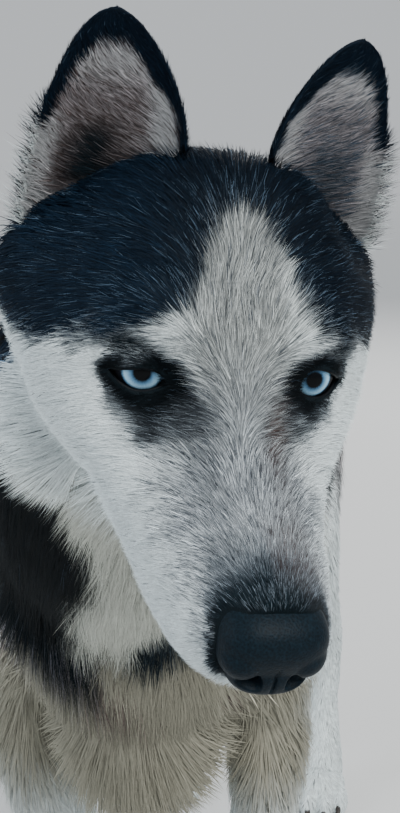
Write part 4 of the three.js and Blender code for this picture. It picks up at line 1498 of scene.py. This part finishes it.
def clear_of_eyes(in_head):
    """True where a root isn't on the rim of the lids, nor inside the socket."""
    free = np.ones(len(in_head), bool)
    for side in (LEFT, RIGHT):
        local = (in_head * [side, 1, 1] - EYE_CENTRE) @ LIDS_TURN
        away = np.linalg.norm(local, axis=1)
        outline = almond(np.linspace(0, 1, 90), side, RIM_CLEAR)
        rim_height, height = outline[:, 1] + OPENING_DROP, local[:, 2] + OPENING_DROP
        angle = np.arctan2(rim_height, outline[:, 0])
        order = np.argsort(angle)
        reach = np.interp(np.arctan2(height, local[:, 0]), angle[order],
                          np.hypot(outline[:, 0], rim_height)[order], period=2 * math.pi)
        in_opening = (np.hypot(local[:, 0], height) < reach) & (local[:, 1] < 2)
        inside = (away < EYEBALL_RADIUS + 0.8) | (in_opening & (away < EYEBALL_RADIUS + 8))
        free &= ~inside
    return free


# %% [markdown]
# Each tuft's rings follow a bent middle line: it rises by its lift, levels off, sags and swings a little
# to the side. Neighbours swing together, as damp hair gathers in locks. The root is darker, as painted
# shade of the coat's depth, and on the dark hairs the tip may be paler, as guard hairs are. All tufts of a
# piece are worked out together in arrays, because a loop over single hairs would take many minutes.

# %% Making the tufts
SINK = 0.5
RING_SHARE = {1: [0], 2: [0, 0.48], 3: [0, 0.34, 0.7]}
RING_WIDTH = {1: [1.1], 2: [0.8, 0.95], 3: [0.75, 1.0, 0.72]}
TRIANGLES_EACH = {1: 4, 2: 10, 3: 16}
BLADE_RISE = 0.38
PATCH = 0.003
FLOOR_CLEAR = 0.4
# A hair's tone at its root and tip, and how much of its own height it keeps over rising skin
# The darker root is painted shade from the depth of the coat
ROOT_SHADE, TIP_SHADE = 0.85, 1.1
KEPT_HEIGHT = 0.75
# How much each hair is shaded as the skin under it, which softens a coat of few, thick hairs
SOFT_SHADING = (0.62, 0.86)
# How many tufts gather to a wisp in close and in loose hair, how near their points come and how often
# they share its tone
LOOSE_LENGTH = 16
WISP_SIZE = (3, 6)
WISP_PULL = (0.25, 0.62)
WISP_TONE = (0.15, 0.45)
hair_material = coat_material("husky_hair", 0)


def tuft_faces(count, rings):
    """Corner numbers of every tuft: three sides between rings, a point and a closed root."""
    each = 3 * rings + 1
    sides = []
    for ring in range(rings - 1):
        for corner in range(3):
            a, b = 3 * ring + corner, 3 * ring + (corner + 1) % 3
            sides.append((a, a + 3, b + 3, b))
    last = 3 * (rings - 1)
    points = [(last + (corner + 1) % 3, last + corner, each - 1) for corner in range(3)]
    root = [(0, 1, 2)]
    start = np.arange(count) * each
    quads = (start[:, None, None] + np.array(sides, int).reshape(-1, 4)).reshape(-1, 4)
    triangles = (start[:, None, None] + np.array(points + root)).reshape(-1, 3)
    return quads, triangles


skin_shell = BVHTree.FromPolygons(skin_points.tolist(), skin_faces.tolist())


def kept_above_skin(points, heights):
    """Lifts each point to its height over the skin where the skin rises under it."""
    for index, point in enumerate(points):
        spot, normal, _, _ = skin_shell.find_nearest(point)
        short = heights[index] - (Vector(point) - spot).dot(normal)
        if short > 0:
            points[index] += np.array(normal) * short


def gathered(points, each):
    """Gathers the roots into wisps: the number of each root's wisp, and the wisp's middle root."""
    seeds = DRAWS.choice(len(points), max(1, len(points) // each), replace=False)
    tree = KDTree(len(seeds))
    for number, seed in enumerate(seeds):
        tree.insert(points[seed], number)
    tree.balance()
    wisp = np.array([tree.find(point)[1] for point in points])
    return wisp, points[seeds][wisp]


def make_tufts(name, reading, plan, rings):
    """A coat piece: a tuft at each point of the reading, of the length and width planned there."""
    count = len(reading.points)
    paint = reading.paint(plan.length * 0.5)
    loose = int(plan.length.mean() > LOOSE_LENGTH)
    wisp, wisp_middle = gathered(reading.points, WISP_SIZE[loose])

    def shared(values):
        return values[wisp]

    pull = wisp_middle - reading.points
    pull = pull - reading.normals * (pull * reading.normals).sum(1)[:, None]
    pull *= WISP_PULL[loose]
    wave = 14 if loose else 6
    swing = mottle(reading.points, wave, 21) * 0.16
    swing += shared(DRAWS.normal(0, 0.08, count)) + DRAWS.normal(0, 0.06, count)
    lift = np.radians(plan.lift * (1 + 0.25 * mottle(reading.points, wave, 23))
                      * shared(DRAWS.uniform(0.6, 1.4, count)) * DRAWS.uniform(0.85, 1.2, count))
    side = unit(np.cross(reading.lie, reading.normals))
    lie = unit(reading.lie + side * swing[:, None])
    side = unit(np.cross(lie, reading.normals))
    roll = DRAWS.normal(0, 0.35, count)[:, None]
    blade = side * np.cos(roll) + reading.normals * np.sin(roll)
    top = reading.normals * np.cos(roll) - side * np.sin(roll)
    length = plan.length * DRAWS.uniform(0.72, 1.22, count)
    width = plan.width * DRAWS.uniform(0.75, 1.25, count)
    bend = DRAWS.normal(0, 0.07, count)[:, None] * side
    drop = np.array([0, 0, -1.0]) * plan.sag[:, None]

    def middle(t):
        rise = (np.sin(lift) * t * (1 - 0.42 * t))[:, None] * reading.normals
        run = (np.cos(lift) * t)[:, None] * lie
        points = reading.points + length[:, None] * (run + rise + (bend + drop) * t * t) + pull * t
        if t > 0:
            kept_above_skin(points, KEPT_HEIGHT * length * np.sin(lift) * t * (1 - 0.42 * t))
        return points

    # Part of the hairs take the tone of their wisp, the others their own
    own = DRAWS.random(count) > WISP_TONE[loose]
    draw = np.where(own, DRAWS.random(count), shared(DRAWS.random(count)))
    is_dark = draw < paint.chance
    tone = np.where(is_dark[:, None], paint.dark, paint.light)
    # Salt and pepper zones vary most, and white cheeks least
    uneven = 0.10 + 0.24 * smooth_step(0.03, 0.2, paint.chance)
    spread = DRAWS.normal(0, 0.9, count) + shared(DRAWS.normal(0, 0.5, count))
    tone = tone * np.exp(spread * uneven)[:, None]
    # A light hair among dark ones is dark at its root, and only its tip shows
    banded = (smooth_step(0.1, 0.5, paint.chance) * ~is_dark)[:, None]
    width = width * (1 - 0.5 * banded[:, 0])
    # Roots are darker as painted shade, and banded hairs take the dark tone there
    rooted = blend(tone * ROOT_SHADE, paint.dark, banded)
    tipped = tone * TIP_SHADE
    places, colours, flat, facing = [], [], [], []
    home = reading.unwrapped()
    soft = np.interp(plan.length, [8, 30], SOFT_SHADING)[:, None]
    sink = (SINK * plan.length / (plan.length + 4))[:, None]
    for t, wide in zip(RING_SHARE[rings], RING_WIDTH[rings]):
        centre = middle(t) - reading.normals * (sink if t == 0 else 0)
        half = (width * wide / 2)[:, None]
        places += [centre - blade * half, centre + blade * half, centre + top * half * 2 * BLADE_RISE]
        colours += [blend(rooted, tipped, min(1, t * 1.6))] * 3
        for out in (-blade, blade, top):
            facing.append(reading.normals * soft + out * (1 - soft))
        flat += [home + PATCH * np.array([across, t]) for across in (0, 1, 0.5)]
    places.append(middle(1))
    colours.append(tipped)
    facing.append(reading.normals)
    flat.append(home + PATCH * np.array([0.5, 1]))
    places, colours, facing = (np.stack(rows, 1).reshape(-1, 3) for rows in (places, colours, facing))
    places[:, 2] = np.maximum(places[:, 2], FLOOR_CLEAR)
    flat = np.stack(flat, 1).reshape(-1, 2)
    quads, triangles = tuft_faces(count, rings)
    return tuft_object(name, places, quads, triangles, colours, facing, flat)


def tuft_object(name, places, quads, triangles, colours, facing, flat):
    """A mesh straight from arrays, with its own normals, unwrap and tones."""
    data = bpy.data.meshes.new(name)
    data.vertices.add(len(places))
    data.vertices.foreach_set("co", dog_to_frame(places).astype(np.float32).ravel())
    loops = np.concatenate([quads.ravel(), triangles.ravel()]).astype(np.int32)
    data.loops.add(len(loops))
    data.loops.foreach_set("vertex_index", loops)
    starts = np.concatenate([np.arange(len(quads)) * 4, len(quads) * 4 + np.arange(len(triangles)) * 3])
    data.polygons.add(len(starts))
    data.polygons.foreach_set("loop_start", starts.astype(np.int32))
    data.update(calc_edges=True)
    data.shade_smooth()
    data.normals_split_custom_set_from_vertices(unit(facing).tolist())
    unwrap = data.uv_layers.new(name="OFBake")
    unwrap.data.foreach_set("uv", flat[loops].astype(np.float32).ravel())
    coloured_mesh(data, colours)
    data.materials.append(hair_material)
    made = bpy.data.objects.new(name, data)
    bpy.context.collection.objects.link(made)
    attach(made, "root")
    return made


# %% Coat pieces


def coat_piece(name, chosen, rings):
    """Draws the roots over the chosen faces and grows a tuft on each that is clear."""
    places, normals = draw_roots(np.nonzero(chosen)[0])
    reading = SkinReading(places, normals)
    keep = clear_of_nose(places) & clear_of_eyes(reading.in_head) & (places[:, 2] > SOLE_CLEAR)
    reading = SkinReading(places[keep], normals[keep])
    made = make_tufts(name, reading, CoatPlan(reading), rings)
    print(name, keep.sum(), "tufts", keep.sum() * TRIANGLES_EACH[rings], "triangles")


# Where a coat piece of the head ends and the next begins, and how far down a leg its upper piece goes
MUZZLE_END, FACE_END, CROWN_END = -32, 8, 46
UPPER_ARM_SHARE, THIGH_SHARE = 0.36, 0.4
first_corner = skin_faces[:, 0]
face_side = skin_reading.in_head[first_corner, 0] > 0
face_body_side = skin_points[first_corner, 0] > 0
face_share = skin_reading.share[first_corner]
on_head = face_part == HEAD
front_to_back = skin_reading.half[first_corner, 1]
muzzle = on_head & (front_to_back < MUZZLE_END)
face = on_head & (front_to_back >= MUZZLE_END) & (front_to_back < FACE_END)
crown = on_head & (front_to_back >= FACE_END) & (front_to_back < CROWN_END)
nape = on_head & (front_to_back >= CROWN_END)
for name, here, rings, by_head, slot in (
        ("muzzle", muzzle, 1, True, "coat_grey"),
        ("face", face, 1, True, "coat_white"),
        ("crown", crown, 1, True, "coat_black"),
        ("nape", nape, 2, True, "coat_black"),
        ("ear", face_part == EAR, 1, True, "coat_black"),
        ("neck", face_part == NECK_PART, 1, False, "coat_black"),
        ("trunk", face_part == TRUNK_PART, 1, False, "coat_black"),
        ("upper_arm", (face_part == FORELEG) & (face_share < UPPER_ARM_SHARE), 1, False, "coat_white"),
        ("foreleg", (face_part == FORELEG) & (face_share >= UPPER_ARM_SHARE), 1, False, "coat_white"),
        ("thigh", (face_part == HIND) & (face_share < THIGH_SHARE), 1, False, "coat_white"),
        ("hind_leg", (face_part == HIND) & (face_share >= THIGH_SHARE), 1, False, "coat_white"),
        ("tail", face_part == TAIL_PART, 3, False, "coat_black")):
    left = face_side if by_head else face_body_side
    coat_piece(f"coat_{name}_left", here & left, rings)
    coat_piece(f"coat_{name}_right", here & ~left, rings)

# %% [markdown]
# ## Nose
# The pad is bare skin, black and softly shining, with a fine pebble of raised cells. Its form was fused
# from a few eggs and cut by the nostrils above. The cells are under a millimetre, too small to model,
# so a cell texture raises them as bump.

# %% Nose piece
GRAIN_RELIEF = 0.0002


def grained_material(name, tones, roughness, specular, scale=400, bump=0, cells=False):
    """Two tones mixed by a fine grain or by small cells, which may stand out as bump."""
    material, nodes, links, shader = new_material(name)
    place = nodes.new("ShaderNodeTexCoord")
    grain = nodes.new("ShaderNodeTexVoronoi" if cells else "ShaderNodeTexNoise")
    if cells:
        grain.feature = "SMOOTH_F1"
    level = grain.outputs["Distance" if cells else "Fac"]
    ramp = nodes.new("ShaderNodeValToRGB")
    set_ramp(ramp, tones)
    set_inputs(grain, Scale=scale)
    set_inputs(shader, Roughness=roughness, Specular_IOR_Level=specular)
    links.new(place.outputs["Object"], grain.inputs["Vector"])
    links.new(level, ramp.inputs["Fac"])
    links.new(ramp.outputs["Color"], shader.inputs["Base Color"])
    if bump:
        relief = nodes.new("ShaderNodeBump")
        set_inputs(relief, Strength=bump, Distance=GRAIN_RELIEF)
        links.new(level, relief.inputs["Height"])
        links.new(relief.outputs["Normal"], shader.inputs["Normal"])
    return material


LEATHER_TONES = [(0.002, 0.004, 0.006), (0.006, 0.015, 0.023)]
leather = grained_material("nose_leather", LEATHER_TONES, 0.5, 0.07, 1500, 0.5, cells=True)
nose = object_from("nose_pad", carried(nose_mesh, dog_to_frame), leather)
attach(nose, "root")
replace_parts(nose, "nose")
print("nose pad", len(nose.data.polygons), "faces")

# %% [markdown]
# ## Eyes
# The pale blue iris has fine spokes, a dark rim and a pupil. A clear wet layer over it, the shader's
# coat, gives the glint. The pattern reads an attribute that holds each corner's place as seen along
# the gaze, so it stays on the ball. A photo of an iris would look as good from one side only, and a
# pattern made by nodes stays sharp however near the camera comes.

# %% Eyeballs
IRIS_RADIUS = 6.8
PUPIL_RADIUS = 2.9
# How far each eye looks out and up from the line of the muzzle: both look at the camera
GAZE = {LEFT: (2, 16), RIGHT: (15, 14)}


def eye_material():
    material, nodes, links, shader = new_material("eye_of_pale_blue")
    seen = nodes.new("ShaderNodeAttribute")
    seen.attribute_name = "along_gaze"
    parts = nodes.new("ShaderNodeSeparateXYZ")
    links.new(seen.outputs["Vector"], parts.inputs["Vector"])

    def calculate(kind, first, second=None):
        node = nodes.new("ShaderNodeMath")
        node.operation = kind
        for socket, value in zip(node.inputs, (first, second)):
            if isinstance(value, (int, float)):
                socket.default_value = value
            elif value is not None:
                links.new(value, socket)
        return node.outputs[0]

    across = calculate("MULTIPLY", parts.outputs["X"], parts.outputs["X"])
    height = calculate("MULTIPLY", parts.outputs["Z"], parts.outputs["Z"])
    radius = calculate("SQRT", calculate("ADD", across, height))
    turn = calculate("ARCTAN2", parts.outputs["Z"], parts.outputs["X"])
    combine = nodes.new("ShaderNodeCombineXYZ")
    links.new(calculate("MULTIPLY", turn, 7.0), combine.inputs["X"])
    links.new(calculate("MULTIPLY", radius, 0.35), combine.inputs["Y"])
    spokes = nodes.new("ShaderNodeTexNoise")
    set_inputs(spokes, Scale=2.2, Detail=4)
    links.new(combine.outputs["Vector"], spokes.inputs["Vector"])
    wobble = calculate("MULTIPLY", calculate("SUBTRACT", spokes.outputs["Fac"], 0.5), 1.1)
    place = calculate("DIVIDE", calculate("ADD", radius, wobble), 10)
    ramp = nodes.new("ShaderNodeValToRGB")
    stops = ramp.color_ramp.elements
    tones = [
        (0.0, (0.001, 0.0015, 0.002)),
        (PUPIL_RADIUS / 10 - 0.02, (0.0015, 0.002, 0.003)),
        (PUPIL_RADIUS / 10 + 0.03, (0.03, 0.075, 0.13)),
        (0.43, (0.13, 0.27, 0.42)),
        (0.52, (0.28, 0.50, 0.68)),
        (0.60, (0.34, 0.57, 0.74)),
        (IRIS_RADIUS / 10 - 0.02, (0.09, 0.20, 0.32)),
        (IRIS_RADIUS / 10 + 0.03, (0.004, 0.006, 0.010)),
        (0.95, (0.012, 0.011, 0.012)),
    ]
    stops[0].position, stops[0].color = tones[0][0], (*tones[0][1], 1)
    stops[1].position, stops[1].color = tones[-1][0], (*tones[-1][1], 1)
    for position, colour in tones[1:-1]:
        stop = stops.new(position)
        stop.color = (*colour, 1)
    links.new(place, ramp.inputs["Fac"])
    links.new(ramp.outputs["Color"], shader.inputs["Base Color"])
    set_inputs(shader, Roughness=0.5, Specular_IOR_Level=0.03, Coat_Weight=0.1, Coat_Roughness=0.02)
    return material


eye_finish = eye_material()
CORNEA_RADIUS = 9.2
CORNEA_AHEAD = 2.6


def make_eye(name, side):
    """One eyeball with its bulging cornea, turned to its gaze."""
    out, upward = GAZE[side]
    gaze = turn_matrix(out, -upward, 0)
    ball = egg((0, 0, 0), [EYEBALL_RADIUS - 0.1] * 3, (90, 0, 0), 96, 64)
    for corner in ball.verts:
        bulge = CORNEA_RADIUS ** 2 - corner.co.x ** 2 - corner.co.z ** 2
        if corner.co.y < 0 and bulge > 0:
            corner.co.y = min(corner.co.y, -CORNEA_AHEAD - math.sqrt(bulge) + 0.3)
    local = corner_array(ball)
    ball = carried(ball, lambda points: (points @ gaze.T + EYE_CENTRE) * [side, 1, 1])
    if side == RIGHT:
        bmesh.ops.reverse_faces(ball, faces=ball.faces)
    made = object_from(name, carried(ball, head_to_frame), eye_finish)
    layer = made.data.attributes.new("along_gaze", "FLOAT_VECTOR", "POINT")
    layer.data.foreach_set("vector", local.astype(np.float32).ravel())
    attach(made, "root")
    return made


for name, side in (("left", LEFT), ("right", RIGHT)):
    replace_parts(make_eye(f"eyeball_{name}", side), f"eye_{name}")
    print("eyeball", name, "looks", GAZE[side], "degrees out and up")

# %% [markdown]
# The lids' wet rims are dark, hairless and rounded. Each rim is a thin closed ring that follows the
# almond opening over the ball. It hides the crisp cut of the opening, which a bevel could round too,
# but not so evenly over the small faces of a remesh.

# %% Lid rims
RIM_RADIUS = 0.75
# The rim's line lies this far out of the opening's outline and over the ball
RIM_OUT, RIM_OVER = 0.2, 0.9


def rim_line(turn, side):
    outline = almond(turn % 1, side, RIM_OUT)
    ahead = -np.sqrt(np.maximum((EYEBALL_RADIUS + RIM_OVER) ** 2 - (outline ** 2).sum(1), 1))
    return np.stack([outline[:, 0], ahead, outline[:, 1]], 1)


def lid_rim(side):
    """The rim of one eye's lids, in the head's frame."""
    def ring(u, v):
        middle = rim_line(v, side)
        along = unit(rim_line(v + 0.004, side) - rim_line(v - 0.004, side))
        out = unit(middle)
        turn = u[:, None] * 2 * math.pi
        offset = out * np.cos(turn) + np.cross(along, out) * np.sin(turn)
        return lids_to_head(middle + RIM_RADIUS * offset)

    made = bent_grid(12, 120, ring)
    return made if side == LEFT else mirrored(made)


LID_TONES = [(0.002, 0.003, 0.004), (0.006, 0.007, 0.009)]
lid_finish = grained_material("wet_lid", LID_TONES, 0.4, 0.08, 1500, 0.3)
for name, side in (("left", LEFT), ("right", RIGHT)):
    rim = carried(lid_rim(side), head_to_frame)
    bmesh.ops.recalc_face_normals(rim, faces=rim.faces)
    made = object_from(f"lid_rim_{name}", rim, lid_finish)
    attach(made, "root")
    print(made.name, len(made.data.polygons), "faces")

# %% [markdown]
# ## Claws and whiskers
# Both are tapered rods bent along a line. The claws curve down from the toes. The whiskers grow from
# the dots on the muzzle. A curve with a bevel would make such rods as well; a bent grid is a closed
# mesh from the start, and one function serves both.

# %% Claws
CLAW_RADIUS = [2.9, 2.7, 1.9, 0.3]


def bent_rod(line, radii, sides, rings):
    """A rod through evenly spaced points, as thick as its radii."""
    line, radii = np.array(line, float), np.array(radii, float)

    def shape(u, v):
        middle = through(line, v)
        along = unit(through(line, v + 0.02) - through(line, v - 0.02))
        level = unit(np.cross(along, UP + 1e-3 * AHEAD))
        turn = u[:, None] * 2 * math.pi
        ring = level * np.cos(turn) + np.cross(level, along) * np.sin(turn)
        return middle + through(radii, v)[:, None] * ring

    return bent_grid(sides, rings, shape)


def claw_line(x, y, scale, across, reach):
    """A claw's middle line, from inside its toe down to near the floor."""
    tip = np.array([x + across * 1.04 * scale, y - (reach + 16) * scale, 0])
    return [tip + [0, 8, 14.5 * scale], tip + [0, 0, 13 * scale], tip + [0, -6.5, 8.5 * scale],
            tip + [0, -9, 1.6]]


def finished(name, makers, material):
    """Several closed forms as one piece of the model."""
    whole = carried(together(makers), dog_to_frame)
    bmesh.ops.recalc_face_normals(whole, faces=whole.faces)
    made = object_from(name, whole, material)
    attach(made, "root")
    print(name, len(made.data.polygons), "faces")


claws = []
for x, y, scale in PAWS:
    for across, reach in TOES:
        claws += both_sides(bent_rod(claw_line(x, y, scale, across, reach), CLAW_RADIUS, 10, 10))
HORN_TONES = [(0.022, 0.019, 0.018), (0.06, 0.052, 0.048)]
finished("claws", claws, grained_material("claw_horn", HORN_TONES, 0.4, 0.3))

# %% Whiskers
WHISKER_LENGTH = (26, 46)
WHISKER_RADIUS = [0.2, 0.16, 0.1, 0.02]
WHISKER_SAG = 0.16


def whisker(root, ahead, length):
    """A rod that leaves its root ahead and sags by the square of its length."""
    ahead = unit(np.array(ahead, float))
    line = [root + ahead * length * t + [0, 0, -WHISKER_SAG * length * t * t] for t in (0, 0.33, 0.67, 1)]
    return bent_rod(line, WHISKER_RADIUS, 5, 9)


whiskers = []
for row, root in enumerate(whisker_roots):
    for side in (LEFT, RIGHT):
        back = DRAWS.uniform(0.1, 0.75)
        length = DRAWS.uniform(*WHISKER_LENGTH) * (0.7 + 0.3 * (row % 4 < 2))
        line = whisker(root * [side, 1, 1], (side, back, DRAWS.uniform(-0.35, 0.15)), length)
        whiskers.append(carried(line, head_to_dog))
WHISKER_TONES = [(0.62, 0.64, 0.62), (0.8, 0.82, 0.8)]
finished("whiskers", whiskers, grained_material("whisker_hair", WHISKER_TONES, 0.5, 0.2))
